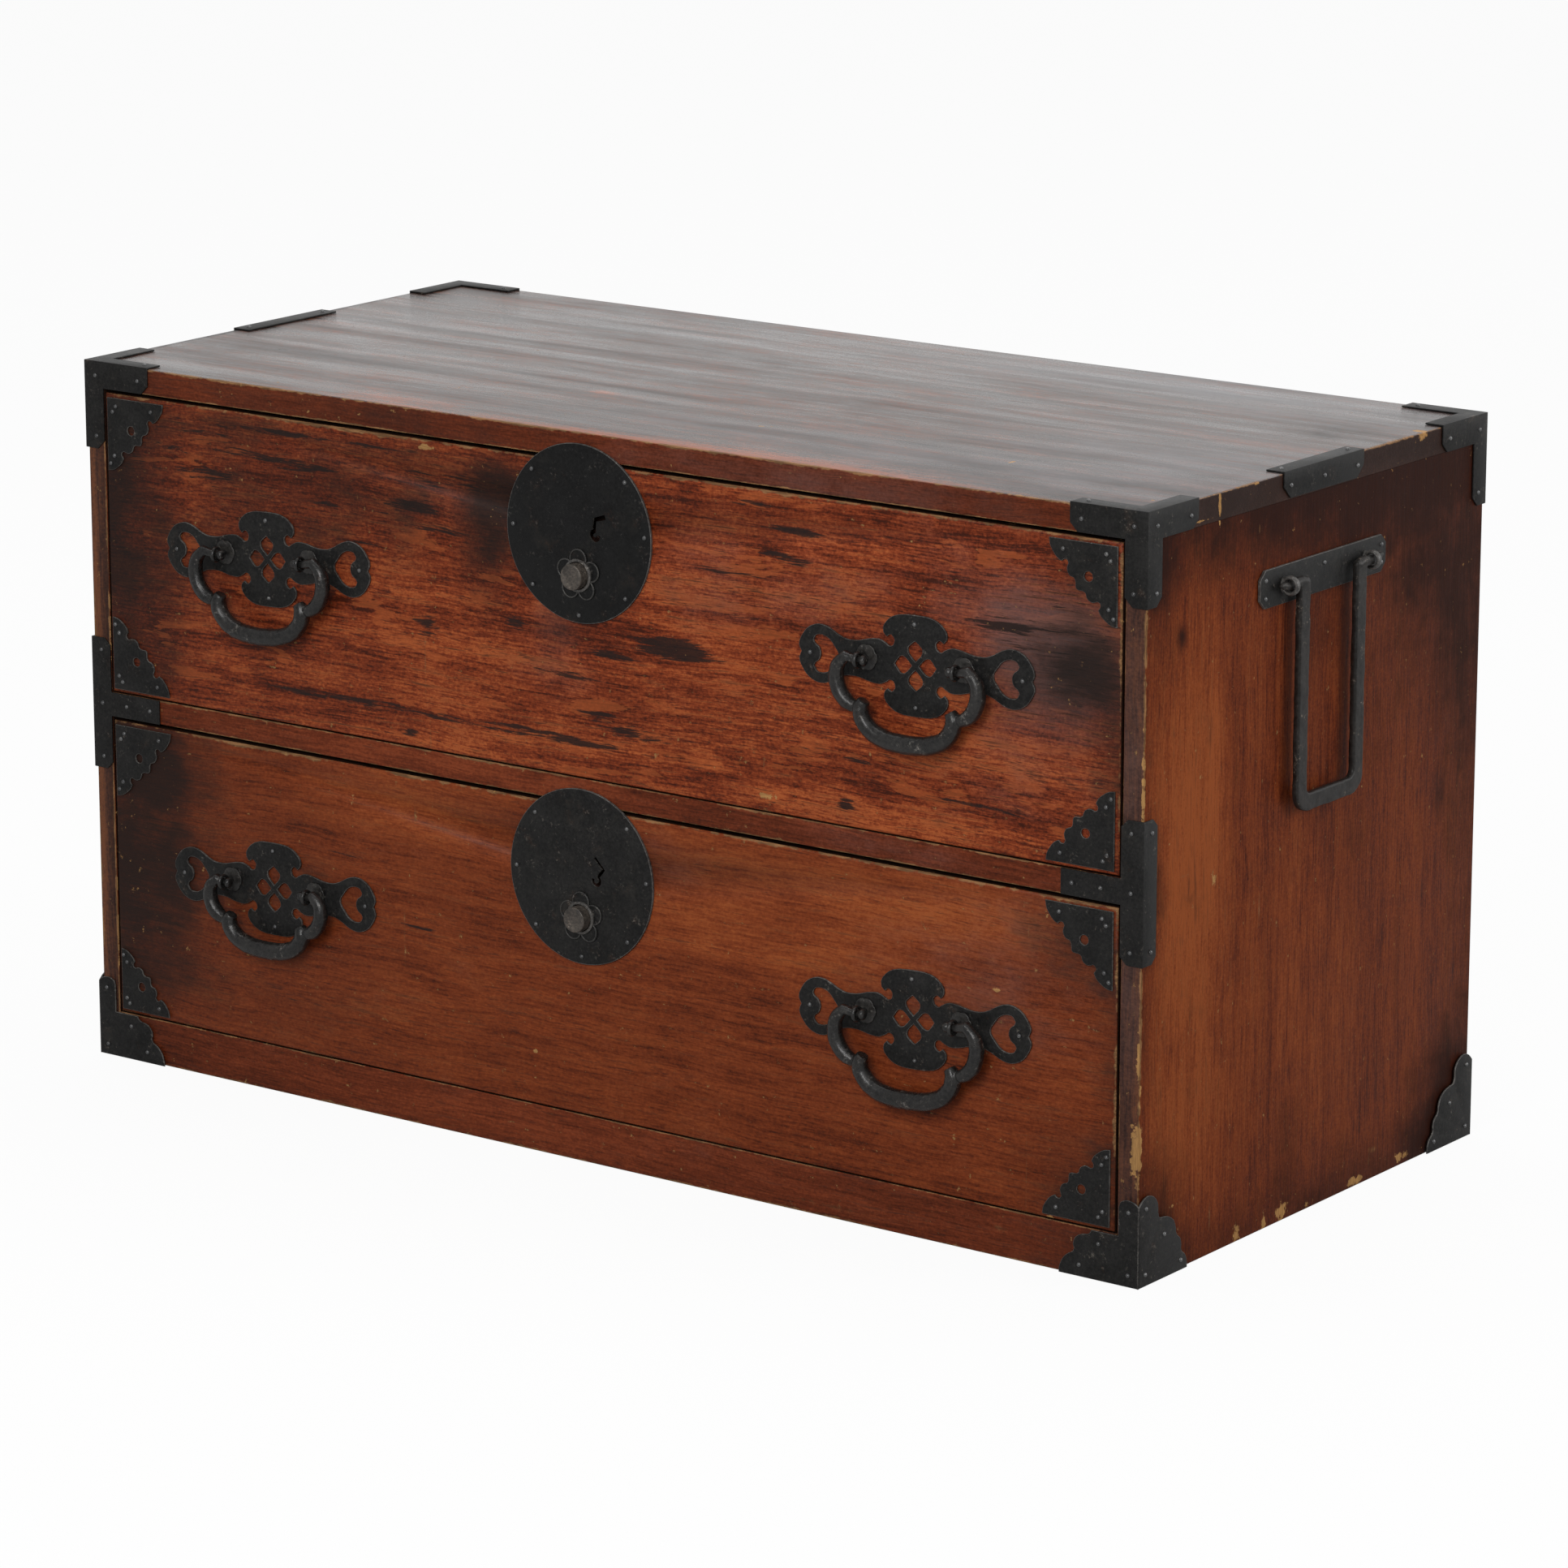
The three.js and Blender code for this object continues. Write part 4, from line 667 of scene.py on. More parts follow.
lower_lacquer = lacquer(
    "lower_front_lacquer", lower_tones, "front", seed=3.1, contrast=0.62, dashed=0.45, grooved=0.5,
    black=0.98, scabs=0.15, gloss=0.4,
    lit_and_pale_spots=[(-160, 225, 120, 40, 0.22), (60, 190, 130, 70, 0.22), (200, 190, 160, 60, 0.3),
           (-120, 90, 150, 60, 0.08), (300, 228, 130, 30, 0.4), (130, 238, 120, 20, 0.3),
           (-150, 238, 120, 16, 0.2)],
    haze_and_sheen_spots=[(330, 190, 130, 90, 0.35), (60, 220, 90, 30, 0.3), (0, 205, 90, 90, 0.25)],
    streaks=[(-220, 184, 55, 4, 0.26), (-155, 143, 40, 4, 0.28), (0, 100, 160, 10, 0.1)],
    # Soot spots: partly smoke, partly painted shade: the dim left end, halos round the irons, and in the
    # last spot the black keyhole recess.
    soot_and_shade_spots=[(-432, 140, 84, 190, 1.0), (-4.5, 203, 80, 80, 0.6), (-285, 150, 120, 56, 0.5),
           (-370, 130, 60, 150, 0.4), (-290, 75, 110, 40, 0.3), (272, 150, 120, 48, 0.3),
           (395, 215, 60, 60, 0.5), (395, 60, 70, 60, 0.5), (431, 140, 26, 160, 0.4),
           (-395, 235, 80, 50, 0.6), (-330, 215, 90, 40, 0.25), (10, 210, 26, 26, 4.0)],
    wears=[(337, 181, 5, 3, 1.3), (-47, 72, 2.5, 2, 1.2), (381, 34, 4, 4, 1.4)],
    scratches=[(-163, 140, 1.4, 40, 0.7), (362, 60, 1.0, 50, 0.6), (362, 225, 1.0, 30, 0.6),
               (-152, 222, 1.4, 12, 0.9), (110, 228, 10, 5, 0.45), (-185, 90, 0.8, 40, 0.4)],
    edges=front_edges(*drawer_heights["lower"]),
)


def on_face(edge):
    """Whether it is a long edge of the outer face."""
    proud = all(abs(corner.co.y / MM - front_proud) < 0.1 for corner in edge.verts)
    return proud and edge.calc_length() > long_edge


for drawer, material in (("upper", upper_lacquer), ("lower", lower_lacquer)):
    eased_board(
        drawer + "_drawer_front", front_ease, drawer + "_drawer", "drawer_lacquer", material, on_face,
        above_and_below + [((1, 0, 0), gap_shade_lacquer), ((-1, 0, 0), gap_shade_lacquer)],
    )

# Case irons
# Sheet iron cut and bent round the edges of the case, blackened with oil and fixed with
# small domed nails: corners at the top, a T at each end of the middle rail, and a strap on
# the top edge of each side.
sheet_ease = 0.3 * MM
nail_radius = 1.6 * MM
nail_facets = 14
nail_rings = 10
nail_cut = -0.25 * nail_radius
nail_flatness = 0.8
nail_smooth = math.radians(50)
node_nail_height = 1.1 * MM
node_nail_sides = 6
small_face = 5 * MM ** 2
sheet_fold = 0.3
iron_dust = (78, 74, 69)
iron_rust = (72, 50, 38)
iron_relief = 0.5 * MM


def iron(name, dark, light, worn, gloss, polish, metal=0.0, rust=0.3, dust=0.25):
    """Blackened iron: dark, mottled, dented, with a breath of rust, dust and worn spots."""
    material, tree = fresh(name)
    place = add(tree, "TexCoord").outputs["Object"]
    mottle = cloud(tree, place, 26, 26, 6, 0.7)
    pits = cloud(tree, place, 2.2, 2.2, 4, 0.75)
    rubs = cloud(tree, place, 11, 11, 6, 0.75)
    smears = cloud(tree, place, 17, 17, 5, 0.8)
    tone = spread(tree, added(tree, (mottle, 0.5), (pits, 0.5)), 0.36, 0.66)
    colour = mixed(tree, tone, tint(*dark), tint(*light))
    dusty = spread(tree, added(tree, (mottle, -0.5), (smears, 0.5), (1.0, 0.5)), 0.5, 0.64, 0, dust)
    colour = mixed(tree, dusty, colour, tint(*iron_dust))
    rusty = spread(tree, added(tree, (rubs, 0.6), (mottle, -0.5), (1.0, 0.4)), 0.5, 0.64, 0, rust)
    colour = mixed(tree, rusty, colour, tint(*iron_rust))
    bright = spread(tree, added(tree, (rubs, 0.55), (pits, 0.45)), 0.56, 0.68, 0, 0.8)
    colour = mixed(tree, bright, colour, tint(*worn))
    rough = added(tree, (pits, 0.3), (mottle, 0.3), (1.0, gloss - 0.3))
    height = added(tree, (pits, 0.4), (mottle, 0.8), (rubs, 0.7))
    bump = add(tree, "Bump", Height=height, Strength=0.55, Distance=iron_relief).outputs[0]
    skin = add(tree, "BsdfPrincipled", Base_Color=colour, Roughness=rough, Normal=bump)
    skin.inputs["Specular IOR Level"].default_value = polish
    skin.inputs["Metallic"].default_value = metal
    add(tree, "OutputMaterial", Surface=skin.outputs[0])
    return material


plate_iron = iron("plate_iron", (12, 12, 12), (40, 39, 38), (110, 104, 96), 0.5, 0.2, dust=0.2)
# Rim iron is paler than the plate: worn edges, and a painted highlight where edges catch the light.
worn_lit_rim_iron = iron("worn_lit_rim_iron", (38, 37, 36), (104, 100, 96), (176, 170, 160), 0.4, 0.5, dust=0.4)
# Nail heads are paler than the plate they sit on: a painted highlight, so each reads as a bright dot.
lit_nail_iron = iron("lit_nail_iron", (48, 48, 50), (104, 104, 104), (188, 186, 180), 0.3, 0.9, 0.3)
forged_iron = iron("forged_iron", (16, 16, 17), (52, 50, 48), (150, 145, 138), 0.3, 0.6, 0.3, dust=0.2)


def domed_nail():
    """The mesh of one nail head: a ball cut off flat below its middle and pressed lower."""
    bpy.ops.object.select_all(action="DESELECT")
    bpy.ops.mesh.primitive_uv_sphere_add(segments=nail_facets, ring_count=nail_rings, radius=nail_radius)
    bpy.ops.object.mode_set(mode="EDIT")
    bpy.ops.mesh.bisect(plane_co=(0, 0, nail_cut), plane_no=(0, 0, 1), clear_inner=True, use_fill=True)
    bpy.ops.mesh.select_all(action="SELECT")
    bpy.ops.transform.resize(value=(1, 1, nail_flatness), center_override=(0, 0, 0))
    bpy.ops.object.mode_set(mode="OBJECT")
    bpy.ops.object.shade_smooth_by_angle(angle=nail_smooth)
    nail = bpy.context.object
    dome = nail.data
    bpy.data.objects.remove(nail)
    return dome


nail_dome = domed_nail()


def drive_nails(piece, spots):
    """Copies of the nail, each on its spot and square to the iron, joined to the piece."""
    if lit_nail_iron.name not in piece.data.materials:
        piece.data.materials.append(lit_nail_iron)
    nails = []
    for spot, facing in spots:
        nail = bpy.data.objects.new("nail", nail_dome.copy())
        bpy.context.scene.collection.objects.link(nail)
        turn = Vector(facing).to_track_quat("Z", "Y").to_matrix().to_4x4()
        nail.data.transform(Matrix.Translation(spot) @ turn)
        nail.data.materials.append(lit_nail_iron)
        nails.append(nail)
    select(piece, *nails)
    bpy.ops.object.join()


def case_iron(node):
    """An iron bent as its node is, with eased edges, and domed nails for the node's plain ones."""
    piece = node_copy(node, node + "_sheet")
    spots = []
    select(piece)
    bpy.ops.object.mode_set(mode="EDIT")
    bpy.ops.mesh.select_mode(type="FACE")
    bpy.ops.mesh.select_all(action="DESELECT")
    form = bmesh.from_edit_mesh(piece.data)
    for face in form.faces:
        if face.calc_area() < small_face:
            face.select_set(True)
            if len(face.verts) == node_nail_sides:
                foot = face.calc_center_median() - face.normal * node_nail_height
                spots.append((foot, face.normal.copy()))
    bmesh.update_edit_mesh(piece.data)
    bpy.ops.mesh.delete(type="FACE")
    bpy.ops.mesh.select_all(action="SELECT")
    bpy.ops.mesh.fill_holes(sides=node_nail_sides)
    bpy.ops.mesh.select_all(action="SELECT")
    bpy.ops.mesh.dissolve_limited(angle_limit=same_plane)
    bpy.ops.object.mode_set(mode="OBJECT")
    pick_edges(piece, lambda edge: edge.calc_face_angle(0) > sheet_fold)
    bpy.ops.mesh.bevel(offset=sheet_ease, segments=2, affect="EDGES", clamp_overlap=True, material=1)
    bpy.ops.object.mode_set(mode="OBJECT")
    bpy.ops.object.shade_smooth_by_angle(angle=smooth_bend)
    finish(piece, node, "case", "black_iron", plate_iron, worn_lit_rim_iron)
    drive_nails(piece, spots)


for side in ("left", "right"):
    for kind in ("top_iron_front", "top_iron_back", "middle_iron", "top_strap"):
        case_iron(f"{kind}_{side}")

# Drawer corner irons
# A right angle of sheet iron on each corner of a drawer front, with a scalloped long side,
# one round hole that shows the lacquer, and five nails.
corner_leg = 52.5
small_corner_leg = 45
corner_inset = 3
corner_sheet = 1.2
corner_ease = 0.3
corner_hole = (0.42, 3.3)
corner_tip = [(1, 0), (0.985, 0.09), (0.94, 0.17), (0.88, 0.24), (0.815, 0.275)]
corner_hollow = [(0.815, 0.275), (0.775, 0.245), (0.735, 0.25), (0.715, 0.285)]
corner_lobe = [(0.715, 0.285), (0.735, 0.365), (0.7, 0.435), (0.635, 0.46)]
corner_middle = [(0.635, 0.46), (0.61, 0.5), (0.595, 0.595), (0.5, 0.61), (0.46, 0.635)]
corner_nails = [(0.79, 0.12), (0.16, 0.11), (0.1, 0.19), (0.12, 0.79), (0.05, 0.9)]
front_seat = -207.9
rim_slope = 0.93
sheet_smooth = math.radians(40)
curve_steps = 5


def smooth(points, steps=curve_steps):
    """A smooth run through a few points, as a bent batten would lie."""
    run = []
    last = len(points) - 1
    for i in range(last):
        before, start = Vector(points[max(i - 1, 0)]), Vector(points[i])
        stop, after = Vector(points[i + 1]), Vector(points[min(i + 2, last)])
        lead, trail = (stop - before) / 2, (after - start) / 2
        for k in range(steps):
            t = k / steps
            bent = (2 * start - 2 * stop + lead + trail) * t ** 3
            bent += (3 * stop - 3 * start - 2 * lead - trail) * t ** 2
            run.append(tuple(bent + lead * t + start))
    return run + [tuple(points[-1])]


def scaled(shares, width, height):
    """Points given as shares of a width and a height, in millimetres."""
    return [(x * width, y * height) for x, y in shares]


def circle(x, y, radius, steps=28):
    """The outline of a circle."""
    turns = [2 * math.pi * i / steps for i in range(steps)]
    return [(x + radius * math.cos(turn), y + radius * math.sin(turn)) for turn in turns]


def stand(origin, across=(1, 0, 0), up=(0, 0, 1), out=(0, -1, 0)):
    """The place of a flat piece that is drawn in millimetres."""
    place = Matrix.Identity(4)
    for column, way in enumerate((across, up, out)):
        for row in range(3):
            place[row][column] = way[row] * MM
            place[row][3] = origin[row] * MM
    return place


def mend(piece):
    """The piece with its doubles merged and its faces turned outwards."""
    select(piece)
    bpy.ops.object.mode_set(mode="EDIT")
    bpy.ops.mesh.select_all(action="SELECT")
    bpy.ops.mesh.remove_doubles(threshold=0.01 * MM)
    bpy.ops.mesh.normals_make_consistent(inside=False)
    bpy.ops.object.mode_set(mode="OBJECT")


def sheet(name, loops, thick, ease, place, steps=1):
    """A flat iron cut to its outline and holes, with eased edges, in its place."""
    bpy.ops.object.select_all(action="DESELECT")
    bpy.ops.object.add(type="CURVE")
    cut = bpy.context.object
    cut.name = name
    cut.data.dimensions = "2D"
    cut.data.fill_mode = "BOTH"
    cut.data.extrude = thick / 2 - ease
    cut.data.bevel_depth = ease
    cut.data.bevel_resolution = steps
    cut.data.offset = -ease
    for loop in loops:
        spline = cut.data.splines.new("POLY")
        spline.points.add(len(loop) - 1)
        spline.use_cyclic_u = True
        for point, (x, y) in zip(spline.points, loop):
            point.co = (x, y, 0, 1)
    bpy.ops.object.convert(target="MESH")
    piece = bpy.context.object
    piece.data.transform(place @ Matrix.Translation((0, 0, thick / 2)))
    if place.determinant() < 0:
        piece.data.flip_normals()
    mend(piece)
    bpy.ops.object.shade_smooth_by_angle(angle=sheet_smooth)
    return piece


def two_irons(piece, out):
    """The rims of a flat piece get its second material, the paler rim iron: worn edges with a painted edge
    highlight.
    """
    out = Vector(out)
    for face in piece.data.polygons:
        if abs(face.normal.dot(out)) < rim_slope:
            face.material_index = 1


def corner_iron(node, leg, x, z, across, up, body):
    """A corner iron whose right angle is at x and z, and whose legs run across and up."""
    runs = [corner_tip, corner_hollow, corner_lobe, corner_middle]
    runs += [[(b, a) for a, b in reversed(run)] for run in (corner_lobe, corner_hollow, corner_tip)]
    outline = [(0, 0)]
    for run in runs:
        outline += smooth(scaled(run, leg, leg))[0 if run is corner_tip else 1:]
    share, radius = corner_hole
    hole = circle(leg * share, leg * share, radius)
    place = stand((x, front_seat, z), (across, 0, 0), (0, 0, up))
    piece = sheet(node + "_sheet", [outline, hole], corner_sheet, corner_ease, place)
    finish(piece, node, body, "black_iron", plate_iron, worn_lit_rim_iron)
    two_irons(piece, outward)
    spots = scaled(corner_nails, leg, leg)
    drive_nails(piece, [(place @ Vector((*spot, corner_sheet)), outward) for spot in spots])


for drawer, (low, high) in drawer_heights.items():
    left, right = drawer_sides
    left, right = left + corner_inset, right - corner_inset
    low, high = low + corner_inset, high - corner_inset
    low_left = small_corner_leg if drawer == "lower" else corner_leg
    body = drawer + "_drawer"
    corner_iron(f"{drawer}_iron_top_left", corner_leg, left, high, 1, -1, body)
    corner_iron(f"{drawer}_iron_top_right", corner_leg, right, high, -1, -1, body)
    corner_iron(f"{drawer}_iron_bottom_left", low_left, left, low, 1, 1, body)
    corner_iron(f"{drawer}_iron_bottom_right", corner_leg, right, low, -1, 1, body)

# Foot irons
# A sheet on each face of the corner, with scalloped edges and lobed tops. The two meet
# along the corner and stand on the floor.
foot_sheet = 1.2
foot_face = [
    [(62, 0), (61.6, 4), (59.4, 9.5), (55.6, 13.6), (51.4, 16)],
    [(51.4, 16), (50.2, 18.4), (51, 21)],
    [(51, 21), (49.8, 25.4), (45.6, 28.8), (40, 30)],
    [(40, 30), (37.8, 31.4), (36.8, 33.3)],
    [(15.9, 33.3), (15.9, 53)],
    [(15.9, 53), (14.2, 56.8), (9.5, 58.6), (4, 57.6), (0, 54.6)],
]
foot_flank = [
    [(58, 0), (57.6, 5), (55.4, 9.6), (51.6, 12.6)],
    [(51.6, 12.6), (50.6, 15), (51, 17)],
    [(51, 17), (49.6, 22), (45.6, 25.4)],
    [(45.6, 25.4), (44.4, 27.6), (44.2, 30)],
    [(44.2, 30), (41.4, 36.4), (35, 40.6), (28.6, 42)],
    [(28.6, 42), (24.4, 42.8), (22.8, 46.2)],
    [(22.8, 46.2), (22.4, 52.6), (18.2, 58), (11.6, 60.6), (5, 59), (0, 54.6)],
]
foot_face_nails = [(8, 50.5), (8, 8), (31, 25), (46, 8)]
foot_flank_nails = [(8, 52.5), (8, 8), (30, 30), (50, 7)]


def join_pieces(first, *others):
    """The pieces as one mesh under the first one's name."""
    select(first, *others)
    bpy.ops.object.join()
    return first


def foot_iron(node, side, end):
    """The two sheets of a foot, on the side to the left or right and on the front or back."""
    low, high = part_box(node)
    x = (high[0] if side > 0 else low[0]) / MM
    y = (high[1] if end > 0 else low[1]) / MM
    pieces = []
    for runs, nails, origin, across, out in (
        (foot_face, foot_face_nails, (x, y - end * foot_sheet, 0), (-side, 0, 0), (0, end, 0)),
        (foot_flank, foot_flank_nails, (x - side * foot_sheet, y, 0), (0, -end, 0), (side, 0, 0)),
    ):
        outline = [(0, 0)]
        for run in runs:
            outline += smooth(run) if len(run) > 2 else run
        outline = [spot for i, spot in enumerate(outline) if spot != outline[i - 1]]
        place = stand(origin, across, (0, 0, 1), out)
        piece = sheet(node + "_sheet", [outline], foot_sheet, sheet_ease / MM, place)
        piece.data.materials.append(plate_iron)
        piece.data.materials.append(worn_lit_rim_iron)
        two_irons(piece, out)
        drive_nails(piece, [(place @ Vector((*spot, foot_sheet)), out) for spot in nails])
        pieces.append(piece)
    finish(join_pieces(*pieces), node, "case", "black_iron")


for side, word in ((-1, "left"), (1, "right")):
    for end, face in ((-1, "front"), (1, "back")):
        foot_iron(f"foot_iron_{face}_{word}", side, end)

# Lock plates
# A round plate of sheet iron, held by seven nails, with a bent keyhole that ends in an open
# ring. A plum blossom with raised rims and a collar are riveted round the button.
hardware_x = -4.5
lock_drop = 48.5
button_drop = 28.5
lock_radius = 61.5
lock_sheet = 1.5
lock_ease = 0.5
lock_facets = 128
lock_nail_ring = 56
lock_nail_angles = (4, 45, 135, 180, 225, 270, 315)
keyhole_ring = 3.0
keyhole_turns = [math.radians(22 * i) for i in range(13)]
keyhole_depth = 6
keyhole_width = {"upper": 3.6, "lower": 2.8}
keyhole_line = {
    "upper": [(14.0, 0.5), (13.2, 5.4), (14.0, 11.2), (22.8, 13.8)],
    "lower": [(13.0, -0.8), (15.6, 3.4), (19.2, 7.6), (11.6, 15.2)],
}
recess_place = (16, 7)
recess_radius = 13
recess_depth = (-8, 3)
petal_count = 5
petal_centre = 11.2
petal_radius = 7.4
petal_base = 0.9
petal_ease = 0.3
petal_sink = 0.1
petal_rim = (6.6, 0.62)
petal_rim_height = lock_sheet + petal_base - 0.2
collar = (11.4, 3.9)
collar_ease = 0.4
button_bore = 9.4
bore_depth = (-1, 8)
bore_facets = 64


def cut_away(piece, cutter):
    """The piece with the cutter's shape taken out of it."""
    cut = piece.modifiers.new("cut", "BOOLEAN")
    cut.object = cutter
    cut.operation = "DIFFERENCE"
    select(piece)
    bpy.ops.object.modifier_apply(modifier=cut.name)
    bpy.data.objects.remove(cutter)


def bar(name, stops, place, resolution=4):
    """A round bar along a line of stops in millimetres, each with its own radius."""
    bpy.ops.object.select_all(action="DESELECT")
    bpy.ops.object.add(type="CURVE")
    line = bpy.context.object
    line.name = name
    line.data.dimensions = "3D"
    line.data.bevel_depth = 1
    line.data.bevel_resolution = resolution
    line.data.use_fill_caps = True
    spline = line.data.splines.new("POLY")
    spline.points.add(len(stops) - 1)
    for point, (x, y, z, radius) in zip(spline.points, stops):
        point.co = (x, y, z, 1)
        point.radius = radius
    bpy.ops.object.convert(target="MESH")
    piece = bpy.context.object
    piece.data.transform(place)
    mend(piece)
    return piece


def drum(name, radius, low, high, place=Matrix.Identity(4), facets=64, ease=0.0, steps=2):
    """A disc between two heights, with the edge of its outer face rounded over."""
    bpy.ops.object.select_all(action="DESELECT")
    bpy.ops.mesh.primitive_circle_add(
        vertices=facets, radius=radius, fill_type="NGON", location=(0, 0, low)
    )
    piece = bpy.context.object
    piece.name = name
    bpy.ops.object.transform_apply()
    bpy.ops.object.mode_set(mode="EDIT")
    bpy.ops.mesh.select_all(action="SELECT")
    bpy.ops.mesh.extrude_region_move(TRANSFORM_OT_translate={"value": (0, 0, high - low)})
    bpy.ops.mesh.select_all(action="SELECT")
    bpy.ops.mesh.normals_make_consistent(inside=False)
    bpy.ops.object.mode_set(mode="OBJECT")
    if ease:
        pick_edges(piece, lambda edge: all(abs(end.co.z - high) < 0.001 for end in edge.verts))
        bpy.ops.mesh.bevel(offset=ease, segments=steps, affect="EDGES")
        bpy.ops.object.mode_set(mode="OBJECT")
    piece.data.transform(place)
    bpy.ops.object.shade_smooth_by_angle(angle=smooth_bend)
    return piece


def petal_outline():
    """Five round petals as one outline around the button."""
    outline = []
    turns = 20 * petal_count
    half_petal = math.pi / petal_count
    for i in range(turns):
        turn = 2 * math.pi * i / turns
        off = (turn + half_petal) % (2 * half_petal) - half_petal
        half = math.sqrt(petal_radius ** 2 - (petal_centre * math.sin(off)) ** 2)
        reach = petal_centre * math.cos(off) + half
        outline.append((reach * math.cos(turn + math.pi / 2), reach * math.sin(turn + math.pi / 2)))
    return outline


def petal_rims(place):
    """A thin raised rim round each petal."""
    rims = []
    for i in range(petal_count):
        turn = math.pi / 2 + 2 * math.pi * i / petal_count
        middle = (petal_centre * math.cos(turn), petal_centre * math.sin(turn), petal_rim_height)
        bpy.ops.object.select_all(action="DESELECT")
        bpy.ops.mesh.primitive_torus_add(
            major_radius=petal_rim[0], minor_radius=petal_rim[1], major_segments=40, minor_segments=10
        )
        rim = bpy.context.object
        rim.data.transform(place @ Matrix.Translation(middle))
        rims.append(rim)
    rims = join_pieces(*rims)
    bpy.ops.object.shade_smooth()
    return rims


def keyhole(drawer, place):
    """A cutter in the shape of the keyhole: a bent slot that ends in an open ring."""
    (x, y), *slot = keyhole_line[drawer]
    start = math.atan2(slot[0][1] - y, slot[0][0] - x)
    way = -1 if drawer == "lower" else 1
    turns = [start + way * turn for turn in reversed(keyhole_turns)]
    ring = [(x + keyhole_ring * math.cos(turn), y + keyhole_ring * math.sin(turn)) for turn in turns]
    stops = [(x, y, 0, keyhole_width[drawer] / 2) for x, y in ring + slot]
    deep = Matrix.Diagonal((1, 1, keyhole_depth, 1))
    return bar("keyhole", stops, place @ deep, resolution=2)


smoked_iron = iron("smoked_iron", (8, 8, 8), (25, 25, 25), (84, 80, 76), 0.46, 0.2, dust=0.1)
petal_iron = iron("petal_iron", (26, 26, 26), (72, 70, 67), (160, 154, 146), 0.4, 0.4)
lock_iron = {"upper": smoked_iron, "lower": plate_iron}


def lock_plate(drawer, high):
    """The plate of a drawer, with its keyhole, its rosette and its nails."""
    node = drawer + "_lock_plate"
    middle = high - lock_drop
    place = stand((hardware_x, front_seat, middle))
    button_place = stand((hardware_x, front_seat, middle - button_drop))
    piece = drum(node + "_disc", lock_radius, 0, lock_sheet, place, lock_facets, lock_ease)
    cut_away(piece, keyhole(drawer, place))
    x, z = recess_place
    recess = drum("recess", recess_radius, *recess_depth, stand((hardware_x + x, front_seat, middle + z)))
    cut_away(bpy.data.objects[drawer + "_drawer_front_board"], recess)
    cut_away(piece, drum("bore", button_bore, *bore_depth, button_place))
    bpy.ops.object.shade_smooth_by_angle(angle=smooth_bend)
    finish(piece, node, drawer + "_drawer", "black_iron", lock_iron[drawer], worn_lit_rim_iron)
    two_irons(piece, outward)

    bore = circle(0, 0, button_bore, bore_facets)
    on_plate = button_place @ Matrix.Translation((0, 0, lock_sheet - petal_sink))
    base = sheet("petals", [petal_outline(), bore], petal_base, petal_ease, on_plate)
    rims = petal_rims(button_place)
    radius, height = collar
    ring = [circle(0, 0, radius, bore_facets), bore]
    ring = sheet("collar", ring, height - lock_sheet, collar_ease, on_plate, 2)
    for part, material in ((base, lock_iron[drawer]), (rims, petal_iron), (ring, worn_lit_rim_iron)):
        part.data.materials.append(material)
    join_pieces(piece, base, rims, ring)
    nails = []
    for angle in lock_nail_angles:
        turn = math.radians(angle)
        spot = Vector((math.cos(turn) * lock_nail_ring, math.sin(turn) * lock_nail_ring, lock_sheet))
        nails.append((place @ spot, outward))
    drive_nails(piece, nails)


for drawer, (low, high) in drawer_heights.items():
    lock_plate(drawer, high)

# Lock buttons
# A turned iron button in each rosette. It stands ten millimetres proud, with a worn rim and
# a dished face, and its flange is caught behind the front.
button_radius = 8.9
button_reach = 10.5
button_ease = 0.8
button_dish = [(1.1, 0), (0.9, -0.7), (3.0, 0.35)]
button_flange = (12.5, 2.5)
button_flange_ease = 0.3
button_seat = 8.5
button_iron = iron(
    "button_iron", (44, 40, 37), (104, 95, 86), (176, 162, 146), 0.42, 0.6, 0.25, rust=0.6
)


def lock_button(drawer, high):
    """The button of a drawer's lock, a flange and a stem with a dished end."""
    node = drawer + "_lock_button"
    place = stand((hardware_x, front_seat, high - lock_drop - button_drop))
    radius, thick = button_flange
    back = -button_seat - thick
    flange = drum(node + "_turned", radius, back, back + thick, place, ease=button_flange_ease)
    stem = drum("stem", button_radius, back + thick, button_reach, ease=button_ease, steps=3)
    pick_edges(stem, lambda edge: False)
    bpy.ops.mesh.select_mode(type="FACE")
    form = bmesh.from_edit_mesh(stem.data)
    for face in form.faces:
        face.select_set(face.normal.z > 0.99)
    bmesh.update_edit_mesh(stem.data)
    for thickness, depth in button_dish:
        bpy.ops.mesh.inset(thickness=thickness, depth=depth)
    bpy.ops.object.mode_set(mode="OBJECT")
    stem.data.transform(place)
    stem.data.update()
    join_pieces(flange, stem)
    finish(flange, node, node, "worn_iron", button_iron)


for drawer, (low, high) in drawer_heights.items():
    lock_button(drawer, high)

# Lock works
# Behind each plate is a forged bolt, in a pocket of the front with an iron cover over it.
# The bolt goes up into the rail. Both are plain and keep the shapes of their nodes.
for drawer in ("upper", "lower"):
    for part, material in (("lock_bolt", forged_iron), ("lock_cover", plate_iron)):
        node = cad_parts[f"{drawer}_{part}"]
        node.data.materials.clear()
        node.data.materials.append(material)

